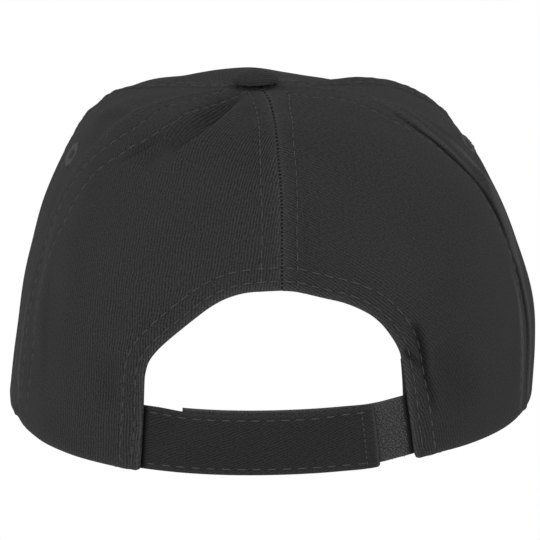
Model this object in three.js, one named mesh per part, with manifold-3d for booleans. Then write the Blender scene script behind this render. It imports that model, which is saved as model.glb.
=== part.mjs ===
// A five panel cap of dark cloth: a wide front panel, two side panels and two back panels
// that meet under a covered button, a curved peak, a sweatband, an eyelet in each side panel,
// and a two-piece strap across the half-moon opening at the back.
// Millimetres, +Z up. The peak points along -Y, so +X is the wearer's left. The cap lies as it
// does on a table, on the back of its rim and the two sides of the peak.
//
// The crown is one surface. A place on it is a turn in degrees about the button (0 at the
// centre of the back, positive to the wearer's left, 180 at the front) and a share of the way
// from the rim (0) to the button (1). Every panel, strap and band is a layer of that surface.

import * as THREE from "three";
import { mergeVertices } from "three/addons/utils/BufferGeometryUtils.js";
import Module from "manifold-3d";

// Crown
const CROWN_HALF_WIDTH = 88;
const CROWN_BACK = 96;
const CROWN_FRONT = 100;
const CROWN_HEIGHT = 108;
const CORNER_FILL = 0.06;
const BUTTON_LEAN = 1.7;
const FRONT_ARCH = 22;
const LEFT_LIFT = 2.9;
const RIGHT_LIFT = 3.6;
const BACK_SAG = 2.4;
const FOLD_CENTRE = 0.3;

// Cloth, and the small clearance between two pieces
const CLOTH = 1.4;
const GAP = 0.3;

// Button
const STEM_RADIUS = 1.8;
const STEM_CLEARANCE = 0.9;
const BUTTON_RADIUS = 7.7;
const BUTTON_RISE = 4.8;
const BUTTON_SEAT = 0.5;
const WASHER_RADIUS = 5.5;
const WASHER_THICKNESS = 0.8;
const WASHER_DROP = 0.6;

// Peak
const PEAK_LENGTH = 68;
const PEAK_THICKNESS = 2.6;
const PEAK_END = 6;
const PEAK_PAST_SEAM = 3;
const PEAK_FILL = 0.05;
const PEAK_FALL_FRONT = 0.08;
const PEAK_FALL_SIDE = 0.42;

// Sweatband
const BAND_HEIGHT = 34;
const BAND_THICKNESS = 1.2;
const BAND_LIFT = 1;
const BAND_CLEARANCE = 0.7;
const BAND_LEFT_INSET = 3.2;
const BAND_RIGHT_INSET = 1.1;

// Straps
const STRAP_WIDTH = 21.2;
const INNER_STRAP_WIDTH = 20.6;
const STRAP_THICKNESS = 1.2;
const STRAP_CLEARANCE = 0.5;
const STRAP_LIFT = 0.5;
const INNER_STRAP_LIFT = 1.4;
const STRAP_TAIL = 11;
const STRAP_EASE = 9;
const OUTER_STRAP_END = -18;
const INNER_STRAP_END = 23.5;

// Eyelets
const EYELET_HOLE = 1.9;
const EYELET_BARREL = 2.7;
const EYELET_RADIUS = 4.4;
const EYELET_FLANGE = 0.7;
const EYELET_SEAT = 0.35;
const LEFT_EYELET = { turn: 83.5, share: 0.717 };
const RIGHT_EYELET = { turn: -84, share: 0.7 };

// A table with named columns, a row to a section.
function table(columns, rows) {
  return rows.map((row) => Object.fromEntries(columns.map((column, i) => [column, row[i]])));
}

// The crown's rings from the rim to the button. The reaches are shares of the half width and
// of the lengths to the back and front, the rises are shares of the height.
const RINGS = table(["share", "left", "right", "back", "front", "sideZ", "backZ", "frontZ"], [
  [0.00, 1.014, 1.000, 1.000, 1.000, 0.000, 0.000, 0.000],
  [0.14, 0.980, 1.021, 1.000, 1.010, 0.160, 0.150, 0.150],
  [0.28, 0.948, 1.016, 0.985, 1.005, 0.320, 0.310, 0.310],
  [0.42, 0.900, 0.962, 0.955, 0.980, 0.480, 0.475, 0.475],
  [0.55, 0.837, 0.899, 0.885, 0.945, 0.630, 0.630, 0.643],
  [0.67, 0.760, 0.817, 0.800, 0.895, 0.760, 0.765, 0.800],
  [0.78, 0.666, 0.684, 0.640, 0.776, 0.880, 0.880, 0.858],
  [0.88, 0.524, 0.462, 0.445, 0.515, 0.965, 0.960, 0.920],
  [0.95, 0.230, 0.216, 0.177, 0.242, 0.992, 0.992, 0.975],
  [1.00, 0.000, 0.000, 0.000, 0.000, 1.000, 1.000, 1.000],
]);

// How far the back of the rim hangs below the rest at each turn, as shares of the sag.
const SAG = table(["turn", "drop"], [
  [-60, 0.00],
  [-40, 0.08],
  [-30, 0.10],
  [-24, 0.45],
  [-19, 0.95],
  [-11, 1.00],
  [0, 1.00],
  [15, 0.92],
  [30, 0.72],
  [45, 0.50],
  [60, 0.25],
  [75, 0.00],
]);

// The five seams, as turns in degrees at each share.
const SEAMS = table(["share", "centre", "backLeft", "backRight", "frontLeft", "frontRight"], [
  [0.00, 4.0, 77.5, -64.5, 121.0, -121.0],
  [0.25, 2.5, 76.6, -63.4, 119.0, -119.0],
  [0.50, 0.0, 77.6, -69.4, 117.5, -115.5],
  [0.60, -0.6, 76.0, -67.8, 117.6, -113.4],
  [0.70, -1.5, 72.8, -62.2, 118.2, -111.0],
  [0.82, -2.5, 64.4, -60.3, 121.0, -107.5],
  [0.88, -3.6, 63.0, -66.5, 122.3, -105.5],
  [0.92, -5.0, 71.5, -73.0, 122.0, -104.0],
  [1.00, -8.0, 70.0, -78.0, 108.0, -96.0],
]);

// Folds and dents, each along a line from one place to another. The width is a share of the
// half width and the depth a share of the height, below 0 for a dent.
const FOLDS = table(["name", "turn", "share", "toTurn", "toShare", "width", "depth"], [
  ["left crease", 27, 0.95, 40, 0.79, 0.050, -0.024],
  ["left ridge", 17, 0.95, 30, 0.78, 0.050, 0.010],
  ["right pucker", -63.5, 0.86, -70.5, 0.42, 0.030, -0.010],
  ["right roll", -69, 0.84, -75, 0.42, 0.050, 0.009],
  ["right shoulder", -110, 0.87, -113, 0.82, 0.130, 0.015],
  ["top notch", -137, 0.94, -146, 0.80, 0.100, -0.036],
  ["front crest", 175, 0.95, 180, 0.9, 0.150, 0.030],
  ["left shoulder", 148, 0.93, 142, 0.88, 0.100, 0.012],
]);
const UP_RUN = 1.4;
const FOLDS_END = 0.97;
const FOLDS_FADE = 0.05;

// The half-moon opening, from the middle of its top down each side to where the hem falls
// straight to the rim.
const OPENING = table(["along", "leftTurn", "leftShare", "rightTurn", "rightShare"], [
  [0.0, 0.2, 0.484, 0.2, 0.484],
  [0.1, 5.0, 0.483, -3.2, 0.480],
  [0.2, 9.5, 0.479, -6.6, 0.470],
  [0.3, 13.8, 0.466, -10.0, 0.459],
  [0.4, 17.6, 0.444, -13.3, 0.448],
  [0.5, 21.0, 0.415, -16.4, 0.432],
  [0.6, 24.2, 0.384, -19.2, 0.410],
  [0.7, 27.0, 0.354, -21.2, 0.383],
  [0.8, 29.2, 0.326, -22.6, 0.353],
  [0.9, 30.8, 0.297, -23.6, 0.325],
  [1.0, 31.5, 0.262, -24.2, 0.299],
]);
const LEFT_HEM_TURN = 31.6;
const RIGHT_HEM_TURN = -26.9;
const HEM_CURVE = 1.4;

// Columns of a back panel's lower edge, as shares from the centre seam to the side seam: along
// the opening, down the hem, then along the rim.
const OPENING_COLUMNS = [0, 0.05, 0.1, 0.15, 0.2, 0.25, 0.3, 0.35, 0.4, 0.45];
const HEM_COLUMNS = [0.52, 0.59, 0.66];
const RIM_COLUMNS = [0.7, 0.74, 0.79, 0.84, 0.89, 0.94, 1];
const SIDE_COLUMNS = [0, 0.06, 0.14, 0.24, 0.36, 0.48, 0.6, 0.72, 0.84, 1];
const FRONT_COLUMNS = 18;
const PANEL_ROWS = 16;
const PEAK_SPAN = 180 - SEAMS[0].frontLeft + PEAK_PAST_SEAM;

const radians = THREE.MathUtils.degToRad;
const mix = THREE.MathUtils.lerp;
const clamp = THREE.MathUtils.clamp;

// Slope of one column of a table at one of its rows, from the rows on either side.
function slopeAt(rows, key, row, name) {
  const before = rows[Math.max(row - 1, 0)];
  const here = rows[row];
  const after = rows[Math.min(row + 1, rows.length - 1)];
  const stepIn = here[key] - before[key];
  const stepOut = after[key] - here[key];
  if (stepIn === 0) return (after[name] - here[name]) / stepOut;
  if (stepOut === 0) return (here[name] - before[name]) / stepIn;
  const slopeIn = (here[name] - before[name]) / stepIn;
  const slopeOut = (after[name] - here[name]) / stepOut;
  return (slopeIn * stepOut + slopeOut * stepIn) / (stepIn + stepOut);
}

// A row of a table between its rows, on a smooth curve through them.
function rowAt(rows, key, value) {
  let row = 0;
  while (row < rows.length - 2 && value > rows[row + 1][key]) row += 1;
  const from = rows[row];
  const to = rows[row + 1];
  const span = to[key] - from[key];
  const u = (value - from[key]) / span;
  const found = {};
  for (const name of Object.keys(from)) {
    const slopeFrom = slopeAt(rows, key, row, name) * span;
    const slopeTo = slopeAt(rows, key, row + 1, name) * span;
    found[name] = (2 * u ** 3 - 3 * u ** 2 + 1) * from[name] + (u ** 3 - 2 * u ** 2 + u) * slopeFrom
      + (3 * u ** 2 - 2 * u ** 3) * to[name] + (u ** 3 - u ** 2) * slopeTo;
  }
  return found;
}

// A difference of two turns, from -180 to 180.
function wrapped(turn) {
  return THREE.MathUtils.euclideanModulo(turn + 180, 360) - 180;
}

// How far the rim hangs at a turn.
function sagAt(turn) {
  const within = clamp(wrapped(turn), SAG[0].turn, SAG.at(-1).turn);
  return BACK_SAG * rowAt(SAG, "turn", within).drop;
}

// Millimetres along the surface for one degree of turn.
function lengthOfTurn(ring) {
  return radians((ring.left + ring.right) / 2 * CROWN_HALF_WIDTH);
}

// How far the folds lift the surface at a place.
function foldsAt(turn, share, ring) {
  const across = lengthOfTurn(ring);
  const up = UP_RUN * CROWN_HEIGHT;
  let lift = 0;
  for (const fold of FOLDS) {
    const turned = wrapped(turn - fold.turn);
    const from = new THREE.Vector2(turned * across, (share - fold.share) * up);
    const line = new THREE.Vector2((fold.toTurn - fold.turn) * across, (fold.toShare - fold.share) * up);
    const along = clamp(from.dot(line) / Math.max(line.lengthSq(), Number.EPSILON), 0, 1);
    const away = from.sub(line.multiplyScalar(along)).length() / (fold.width * CROWN_HALF_WIDTH);
    lift += fold.depth * CROWN_HEIGHT * Math.exp(-away * away);
  }
  return lift * clamp((FOLDS_END - share) / FOLDS_FADE, 0, 1);
}

// A point of the crown's outer surface.
function crownPoint(turn, share) {
  const ring = rowAt(RINGS, "share", share);
  const side = Math.sin(radians(turn));
  const rear = Math.cos(radians(turn));
  const fill = 1 + CORNER_FILL * Math.sin(2 * radians(turn)) ** 2;
  const towardBack = Math.max(rear, 0) ** 2;
  const towardFront = Math.max(-rear, 0) ** 2;
  const rise = ring.sideZ + (ring.backZ - ring.sideZ) * towardBack
    + (ring.frontZ - ring.sideZ) * towardFront;
  const lift = (side > 0 ? LEFT_LIFT : RIGHT_LIFT) * side ** 2;
  const rim = FRONT_ARCH * towardFront + lift - sagAt(turn);
  const point = new THREE.Vector3(
    fill * CROWN_HALF_WIDTH * side * (side > 0 ? ring.left : ring.right) + BUTTON_LEAN * rise,
    fill * rear * (rear > 0 ? ring.back * CROWN_BACK : ring.front * CROWN_FRONT),
    mix(rim, CROWN_HEIGHT, rise),
  );
  const outward = point.clone().sub(new THREE.Vector3(0, 0, CROWN_HEIGHT * FOLD_CENTRE)).normalize();
  return point.addScaledVector(outward, foldsAt(turn, share, ring));
}

// The surface's outward direction at a place.
function crownNormal(turn, share) {
  const step = 1e-3;
  const low = Math.min(share, 1 - 2 * step);
  const across = crownPoint(turn + 1, low).sub(crownPoint(turn - 1, low));
  const up = crownPoint(turn, low + step).sub(crownPoint(turn, Math.max(low - step, 0)));
  return up.cross(across).normalize();
}

// A point at a depth inside the outer surface.
function crownLayer(turn, share, depth) {
  return crownPoint(turn, share).addScaledVector(crownNormal(turn, share), -depth);
}

// The share at which the surface has climbed to a height above the rim.
function shareAtHeight(turn, height) {
  const rim = crownPoint(turn, 0).z;
  let low = 0;
  let high = 0.9;
  for (let i = 0; i < 30; i += 1) {
    const middle = (low + high) / 2;
    if (crownPoint(turn, middle).z - rim < height) low = middle;
    else high = middle;
  }
  return (low + high) / 2;
}

// The share at which the crown has closed in to the hole that the button's stem passes.
function apexShare() {
  let low = 0.9;
  let high = 1;
  for (let i = 0; i < 30; i += 1) {
    const middle = (low + high) / 2;
    if (rowAt(RINGS, "share", middle).left * CROWN_HALF_WIDTH > STEM_RADIUS + STEM_CLEARANCE) low = middle;
    else high = middle;
  }
  return low;
}

const APEX_SHARE = apexShare();

// Half the clearance of a seam, in degrees of turn.
function halfGap(share) {
  return GAP / 2 / lengthOfTurn(rowAt(RINGS, "share", share));
}

// A turn between two seams, leaving each its clearance.
function betweenSeams(from, to, u, share) {
  const seams = rowAt(SEAMS, "share", share);
  const start = seams[from];
  const end = seams[to] + (seams[to] < seams[from] && from.startsWith("front") ? 360 : 0);
  const gap = halfGap(share) * Math.sign(end - start);
  return mix(start + gap, end - gap, u);
}

// One closed body, its shared corners merged and its faces outward.
function closedBody(geometry) {
  geometry.deleteAttribute("normal");
  geometry.deleteAttribute("uv");
  const body = mergeVertices(geometry, 1e-4);
  const order = body.index.array;
  const corner = [new THREE.Vector3(), new THREE.Vector3(), new THREE.Vector3()];
  let volume = 0;
  for (let i = 0; i < order.length; i += 3) {
    for (let k = 0; k < 3; k += 1) corner[k].fromBufferAttribute(body.attributes.position, order[i + k]);
    volume += corner[0].dot(corner[1].cross(corner[2]));
  }
  if (volume < 0) {
    for (let i = 0; i < order.length; i += 3) [order[i], order[i + 1]] = [order[i + 1], order[i]];
  }
  body.computeVertexNormals();
  return body;
}

// A closed sheet: a box whose corners are moved by place(u, v, w), u across, v up, w outward.
function sheet(columns, rows, place) {
  const geometry = new THREE.BoxGeometry(1, 1, 1, columns, rows, 1);
  const corners = geometry.attributes.position;
  for (let i = 0; i < corners.count; i += 1) {
    const moved = place(corners.getX(i) + 0.5, corners.getY(i) + 0.5, corners.getZ(i) + 0.5);
    corners.setXYZ(i, moved.x, moved.y, moved.z);
  }
  return closedBody(geometry);
}

// The hem's turn at a share, from the end of the opening's curve down to the rim.
function hemTurn(end, rimTurn, share) {
  return mix(end.turn, rimTurn, (1 - share / end.share) ** HEM_CURVE);
}

// The lower edge of a back panel, from the centre seam to the side seam.
function backPanelEdge(side, sideSeam, column) {
  const openingEnd = OPENING_COLUMNS.at(-1);
  const hemEnd = HEM_COLUMNS.at(-1);
  const curve = rowAt(OPENING, "along", Math.min(column / openingEnd, 1));
  const end = { turn: curve[`${side}Turn`], share: curve[`${side}Share`] };
  if (column <= openingEnd) return end;
  const rimTurn = side === "left" ? LEFT_HEM_TURN : RIGHT_HEM_TURN;
  if (column <= hemEnd) {
    const share = mix(end.share, 0, (column - openingEnd) / (hemEnd - openingEnd));
    return { turn: hemTurn(end, rimTurn, share), share };
  }
  const seam = rowAt(SEAMS, "share", 0)[sideSeam];
  return { turn: mix(rimTurn, seam, (column - hemEnd) / (1 - hemEnd)), share: 0 };
}

function backPanel(side, sideSeam) {
  const columns = [...OPENING_COLUMNS, ...HEM_COLUMNS, ...RIM_COLUMNS];
  return sheet(columns.length - 1, PANEL_ROWS, (u, v, w) => {
    const column = columns[Math.round(u * (columns.length - 1))];
    const edge = backPanelEdge(side, sideSeam, column);
    const seams = rowAt(SEAMS, "share", edge.share);
    const edgeShare = clamp((edge.turn - seams.centre) / (seams[sideSeam] - seams.centre), 0, 1);
    const share = mix(edge.share, APEX_SHARE, v);
    const turn = betweenSeams("centre", sideSeam, mix(edgeShare, column, v), share);
    return crownLayer(turn, share, CLOTH * (1 - w));
  });
}

function sidePanel(backSeam, frontSeam) {
  return sheet(SIDE_COLUMNS.length - 1, PANEL_ROWS, (u, v, w) => {
    const column = SIDE_COLUMNS[Math.round(u * (SIDE_COLUMNS.length - 1))];
    const share = v * APEX_SHARE;
    return crownLayer(betweenSeams(backSeam, frontSeam, column, share), share, CLOTH * (1 - w));
  });
}

function frontPanel() {
  return sheet(FRONT_COLUMNS, PANEL_ROWS, (u, v, w) => {
    const share = v * APEX_SHARE;
    return crownLayer(betweenSeams("frontLeft", "frontRight", u, share), share, CLOTH * (1 - w));
  });
}

// The peak hangs from the underside of the front of the rim. Its sides fall faster than its
// middle, so they come down to the table.
function peak() {
  const corner = crownPoint(180 - PEAK_SPAN, 0);
  const reach = CROWN_FRONT + PEAK_LENGTH - Math.abs(corner.y) - PEAK_END;
  return sheet(22, 8, (u, v, w) => {
    const swing = 2 * u - 1;
    const root = crownLayer(180 + swing * PEAK_SPAN, 0, CLOTH);
    const rootTop = crownPoint(180 + swing * PEAK_SPAN, 0).z - GAP;
    const angle = radians(swing * 90);
    const fill = 1 + PEAK_FILL * Math.sin(2 * angle) ** 2;
    const edge = new THREE.Vector2(
      -fill * corner.x * Math.sin(angle),
      corner.y - PEAK_END - fill * reach * Math.cos(angle),
    );
    const out = Math.hypot(edge.x - root.x, edge.y - root.y) * v;
    const fall = mix(PEAK_FALL_FRONT, PEAK_FALL_SIDE, Math.sin(angle) ** 2) * out;
    return new THREE.Vector3(
      mix(root.x, edge.x, v),
      mix(root.y, edge.y, v),
      rootTop - fall - PEAK_THICKNESS * (1 - w),
    );
  });
}

// Depths of the layers under the panels: a strap against the hem, and what lies inside it.
const FIRST_DEPTH = CLOTH + STRAP_CLEARANCE;
const SECOND_DEPTH = FIRST_DEPTH + STRAP_THICKNESS + GAP;

// Degrees of turn for a length along the rim.
function turnOfLength(length) {
  return length / lengthOfTurn(RINGS[0]);
}

// The outer strap is sewn under the left hem and its free end lies toward the right.
function outerStrap() {
  const start = LEFT_HEM_TURN + turnOfLength(STRAP_TAIL);
  return sheet(15, 3, (u, v, w) => {
    const turn = mix(OUTER_STRAP_END, start, u);
    const share = shareAtHeight(turn, STRAP_LIFT + v * STRAP_WIDTH);
    return crownLayer(turn, share, FIRST_DEPTH + STRAP_THICKNESS * (1 - w));
  });
}

// The inner strap is sewn under the right hem and dives behind the outer strap.
function innerStrap() {
  const start = RIGHT_HEM_TURN - turnOfLength(STRAP_TAIL);
  const diveStart = OPENING.at(-1).rightTurn - turnOfLength(BAND_RIGHT_INSET - GAP);
  const diveEnd = OUTER_STRAP_END - turnOfLength(GAP + STRAP_THICKNESS);
  return sheet(22, 3, (u, v, w) => {
    const turn = mix(start, INNER_STRAP_END, u);
    const behind = clamp((turn - diveStart) / (diveEnd - diveStart), 0, 1);
    const share = shareAtHeight(turn, INNER_STRAP_LIFT + v * INNER_STRAP_WIDTH);
    const depth = mix(FIRST_DEPTH, SECOND_DEPTH, behind);
    return crownLayer(turn, share, depth + STRAP_THICKNESS * (1 - w));
  });
}

// The sweatband runs round the front from hem to hem and passes inside the strap ends.
function sweatband() {
  const ease = turnOfLength(STRAP_EASE);
  const leftTail = LEFT_HEM_TURN + turnOfLength(STRAP_TAIL + GAP);
  const rightTail = 360 + RIGHT_HEM_TURN - turnOfLength(STRAP_TAIL + GAP);
  const leftEnd = OPENING.at(-1).leftTurn + turnOfLength(BAND_LEFT_INSET);
  const rightEnd = 360 + OPENING.at(-1).rightTurn - turnOfLength(BAND_RIGHT_INSET);
  const turns = [leftEnd, mix(leftEnd, leftTail, 0.5), leftTail, leftTail + ease];
  const steps = 40;
  for (let i = 1; i < steps; i += 1) turns.push(mix(leftTail + ease, rightTail - ease, i / steps));
  turns.push(rightTail - ease, rightTail, mix(rightTail, rightEnd, 0.5), rightEnd);
  return sheet(turns.length - 1, 3, (u, v, w) => {
    const turn = turns[Math.round(u * (turns.length - 1))];
    const toLeft = clamp((leftTail + ease - turn) / ease, 0, 1);
    const toRight = clamp((turn - rightTail + ease) / ease, 0, 1);
    const share = shareAtHeight(turn, mix(BAND_LIFT, BAND_HEIGHT, v));
    const depth = mix(CLOTH + BAND_CLEARANCE, SECOND_DEPTH, Math.max(toLeft, toRight));
    return crownLayer(turn, share, depth + BAND_THICKNESS * (1 - w));
  });
}

// A covered dome on a stem, with a plain washer under the panels.
function button() {
  const under = CROWN_HEIGHT + BUTTON_SEAT;
  const washerTop = CROWN_HEIGHT - CLOTH - WASHER_DROP;
  const washerBottom = washerTop - WASHER_THICKNESS;
  const profile = [
    new THREE.Vector2(0, washerBottom),
    new THREE.Vector2(WASHER_RADIUS, washerBottom),
    new THREE.Vector2(WASHER_RADIUS, washerTop),
    new THREE.Vector2(STEM_RADIUS, washerTop),
    new THREE.Vector2(STEM_RADIUS, under),
    new THREE.Vector2(BUTTON_RADIUS * 0.93, under),
  ];
  for (const degrees of [0, 18, 36, 54, 72]) {
    const angle = radians(degrees);
    const height = BUTTON_RISE * mix(0.18, 1, Math.sin(angle));
    profile.push(new THREE.Vector2(BUTTON_RADIUS * Math.cos(angle) ** 0.8, under + height));
  }
  profile.push(new THREE.Vector2(0, under + BUTTON_RISE));
  const turned = new THREE.LatheGeometry(profile, 24);
  turned.rotateX(Math.PI / 2);
  turned.translate(BUTTON_LEAN, 0, 0);
  return closedBody(turned);
}

// Turns a shape made along +Z so that +Z is the crown's outward direction at a place.
function seatOnCrown(geometry, turn, share) {
  const outward = crownNormal(turn, share);
  const turned = new THREE.Quaternion().setFromUnitVectors(new THREE.Vector3(0, 0, 1), outward);
  const centre = crownPoint(turn, share);
  geometry.applyQuaternion(turned);
  geometry.translate(centre.x, centre.y, centre.z);
  return geometry;
}

// A stitched ring: a flat flange on the cloth and a barrel through it.
function eyelet({ turn, share }) {
  const top = EYELET_SEAT + EYELET_FLANGE;
  const profile = [
    [EYELET_HOLE, -CLOTH],
    [EYELET_BARREL, -CLOTH],
    [EYELET_BARREL, EYELET_SEAT],
    [EYELET_RADIUS, EYELET_SEAT],
    [EYELET_RADIUS - EYELET_FLANGE / 2, top],
    [EYELET_HOLE + EYELET_FLANGE / 2, top],
    [EYELET_HOLE, EYELET_SEAT],
    [EYELET_HOLE, -CLOTH],
  ].map(([radius, height]) => new THREE.Vector2(radius, height));
  const ring = new THREE.LatheGeometry(profile, 20);
  ring.rotateX(Math.PI / 2);
  return closedBody(seatOnCrown(ring, turn, share));
}

const wasm = await Module();
wasm.setup();

function toSolid(body) {
  return new wasm.Manifold(new wasm.Mesh({
    numProp: 3,
    vertProperties: new Float32Array(body.attributes.position.array),
    triVerts: new Uint32Array(body.index.array),
  }));
}

// A side panel with the round hole that its eyelet's barrel passes.
function piercedPanel(body, { turn, share }) {
  const drill = new THREE.CylinderGeometry(EYELET_BARREL + GAP, EYELET_BARREL + GAP, 8 * CLOTH, 20);
  drill.rotateX(Math.PI / 2);
  const cut = toSolid(body).subtract(toSolid(closedBody(seatOnCrown(drill, turn, share))));
  const mesh = cut.getMesh();
  const pierced = new THREE.BufferGeometry();
  pierced.setAttribute("position", new THREE.BufferAttribute(mesh.vertProperties, 3));
  pierced.setIndex(new THREE.BufferAttribute(mesh.triVerts, 1));
  pierced.computeVertexNormals();
  return pierced;
}

const twill = { color: 0x343434, roughness: 0.92, metalness: 0 };
const strapTwill = { color: 0x2d2d2d, roughness: 0.92, metalness: 0 };
const loopPile = { color: 0x3f3f3f, roughness: 1, metalness: 0 };
const thread = { color: 0x4a4a4a, roughness: 0.8, metalness: 0 };

const pieces = [
  ["front_panel", frontPanel(), twill],
  ["side_panel_left", piercedPanel(sidePanel("backLeft", "frontLeft"), LEFT_EYELET), twill],
  ["side_panel_right", piercedPanel(sidePanel("backRight", "frontRight"), RIGHT_EYELET), twill],
  ["back_panel_left", backPanel("left", "backLeft"), twill],
  ["back_panel_right", backPanel("right", "backRight"), twill],
  ["peak", peak(), twill],
  ["sweatband", sweatband(), twill],
  ["strap_outer", outerStrap(), strapTwill],
  ["strap_inner", innerStrap(), loopPile],
  ["button", button(), twill],
  ["eyelet_left", eyelet(LEFT_EYELET), thread],
  ["eyelet_right", eyelet(RIGHT_EYELET), thread],
];

const cap = new THREE.Group();
for (const [name, geometry, look] of pieces) {
  const mesh = new THREE.Mesh(geometry, new THREE.MeshStandardMaterial(look));
  mesh.name = name;
  cap.add(mesh);
}

// The origin is under the middle of the cap, on the table.
const box = new THREE.Box3().setFromObject(cap);
const middle = box.getCenter(new THREE.Vector3());
cap.position.set(-middle.x, -middle.y, -box.min.z);

export default cap;
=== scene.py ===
"""A five panel cap of dark cloth, looked at from behind.

The crown is one surface. A place on it is a turn in degrees about the button (0 at the centre
of the back, positive to the wearer's left, 180 at the front) and a share of the way from the
rim (0) to the button (1). Panels, straps, band and thread are layers of that surface. Sizes
are in millimetres until a mesh is made, and the tables of the crown are those of the part.
"""

import math

import bpy
import numpy as np
from mathutils import Matrix, Vector


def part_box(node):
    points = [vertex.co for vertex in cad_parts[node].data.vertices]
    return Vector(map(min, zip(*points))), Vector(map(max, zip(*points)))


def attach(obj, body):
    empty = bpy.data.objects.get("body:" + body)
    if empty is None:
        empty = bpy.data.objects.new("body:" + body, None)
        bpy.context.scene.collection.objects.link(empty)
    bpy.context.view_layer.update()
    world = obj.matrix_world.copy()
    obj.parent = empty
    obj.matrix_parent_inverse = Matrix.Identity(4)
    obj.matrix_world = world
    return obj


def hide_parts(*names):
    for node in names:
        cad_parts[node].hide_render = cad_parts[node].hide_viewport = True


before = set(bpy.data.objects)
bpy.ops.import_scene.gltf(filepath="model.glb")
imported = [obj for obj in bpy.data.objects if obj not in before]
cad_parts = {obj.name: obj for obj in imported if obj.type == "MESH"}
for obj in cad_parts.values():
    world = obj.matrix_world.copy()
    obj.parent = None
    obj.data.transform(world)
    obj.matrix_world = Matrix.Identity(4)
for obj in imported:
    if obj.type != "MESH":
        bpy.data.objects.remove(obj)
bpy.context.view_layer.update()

MM = 0.001
SEED = 7

# Crown
CROWN_HALF_WIDTH = 88
CROWN_BACK = 96
CROWN_FRONT = 100
CROWN_HEIGHT = 108
CORNER_FILL = 0.06
BUTTON_LEAN = 1.7
FRONT_ARCH = 22
LEFT_LIFT = 2.9
RIGHT_LIFT = 3.6
BACK_SAG = 2.4
FOLD_CENTRE = 0.3
UP_RUN = 1.4
FOLDS_END = 0.97
FOLDS_FADE = 0.05
CLOTH = 1.4
APEX_RADIUS = 2.7

# Button
BUTTON_RADIUS = 7.7
BUTTON_RISE = 4.8
BUTTON_SEAT = 0.5
BUTTON_WEAVE_TURN = 0.5
BUTTON_ASIDE = 0.9
BUTTON_LIFTED = 0.2
STEM_RADIUS = 1.8
WASHER_RADIUS = 5.5
WASHER_THICKNESS = 0.8
WASHER_DROP = 0.6
MOAT_DEPTH = 0.6
MOAT_WIDTH = 1.7
MOAT_INSET = 0.6
BUTTON_FLATNESS = 2.3
BUTTON_UNDER = 0.9
# The button's gathers: how deep, how many round it, where they start, and their level and width.
BUTTON_GATHERS = ((0.16, 17, 0, -0.25, 0.35), (0.1, 29, 1, -0.35, 0.3))
RIVET_ROUND = 0.25
RIVET_SMOOTH = 40

# Peak
PEAK_LENGTH = 68
PEAK_THICKNESS = 2.6
PEAK_END = 6
PEAK_SPAN = 62
PEAK_FILL = 0.05
PEAK_FALL_FRONT = 0.08
PEAK_FALL_SIDE = 0.42
PEAK_ROWS = (4, 12, 20, 28, 36, 44)
PEAK_ARC = 260
PEAK_DIPS_START = (2, 6)
PEAK_ROW_END = 0.985
PEAK_ROW_ROOT = 4

# Sweatband and straps
BAND_HEIGHT = 34
BAND_THICKNESS = 1.2
BAND_LIFT = 1
BAND_CLEARANCE = 0.7
BAND_LEFT_INSET = 3.2
BAND_RIGHT_INSET = 1.1
STRAP_WIDTH = 21.2
INNER_STRAP_WIDTH = 20.6
STRAP_THICKNESS = 1.2
STRAP_CLEARANCE = 0.5
STRAP_LIFT = 0.5
INNER_STRAP_LIFT = 1.4
STRAP_TAIL = 11
STRAP_EASE = 9
STRAP_CORNER = 0.9
STRAP_SLANT = 1.4
STRAP_ROW = 2.0
STRAP_END_ROW = 4.3
STRAP_END_FADE = 0.9
STRAP_END_PITCH = 1.9
STRAP_END_STITCH = 1.3
OUTER_STRAP_END = -18
INNER_STRAP_END = 23.5
STRAP_SAG = 0.8
STRAP_SAG_FROM_END = (5, 22)
STRAP_SAG_FROM_HEM = (3, 16)
STRAP_END_PALE = (0.3, 0.5)
STRAP_SHARE = 0.05
HEM_SHADOW = 0.85
HEM_SHADOW_WIDTH = {"left": 0.9, "right": 1.3}
GAP = 0.3
FIRST_DEPTH = CLOTH + STRAP_CLEARANCE
SECOND_DEPTH = FIRST_DEPTH + STRAP_THICKNESS + GAP

# Loops that stand on the inner strap
PILE_PITCH = 0.85
PILE_LENGTH = 0.9
PILE_WIDTH = 0.3
PILE_SINK = 0.3
PILE_DARKEST = -0.3

# Eyelets
EYELET_THREADS = 46
EYELET_TURN_JITTER = (-0.04, 0.04)
EYELET_HOLE_JITTER = (-0.1, 0.2)
EYELET_RIM_JITTER = (-0.6, 0.5)
EYELET_LEAN_JITTER = (-0.12, 0.12)
EYELET_STEPS = 48
EYELET_HOLE = 1.6
EYELET_RADIUS = 4.4
LEFT_EYELET = (83.5, 0.717)
RIGHT_EYELET = (-84, 0.7)
EYELET_THREAD = 0.62
EYELET_TILT = 0.18
EYELET_LIFT = 0.5
EYELET_SINK = 0.5

# Thread
STITCH_PITCH = 4.4
STITCH_LENGTH = 3.4
THREAD_WIDTH = 0.46
THREAD_RISE = 0.25
STITCH_SINK = 0.25
ROW_DIP = 0.28
ROW_DIP_WIDTH = 0.5
LADDER_PITCH = 1.35
# The ladder's pitch is the height climbed plus this share of the level run, so its threads stay
# apart up to the button, where the seam lies flat.
LADDER_SPREAD = 0.3
LADDER_LENGTH = 1.15
LADDER_SINK = 0.2
LADDER_END_SINK = 0.35
LADDER_BESIDE = 0.6
STRAP_ROW_DIP = 0.18


def table(columns, rows):
    """A table with named columns, each an array."""
    return {name: np.array([row[i] for row in rows], float) for i, name in enumerate(columns)}


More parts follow.
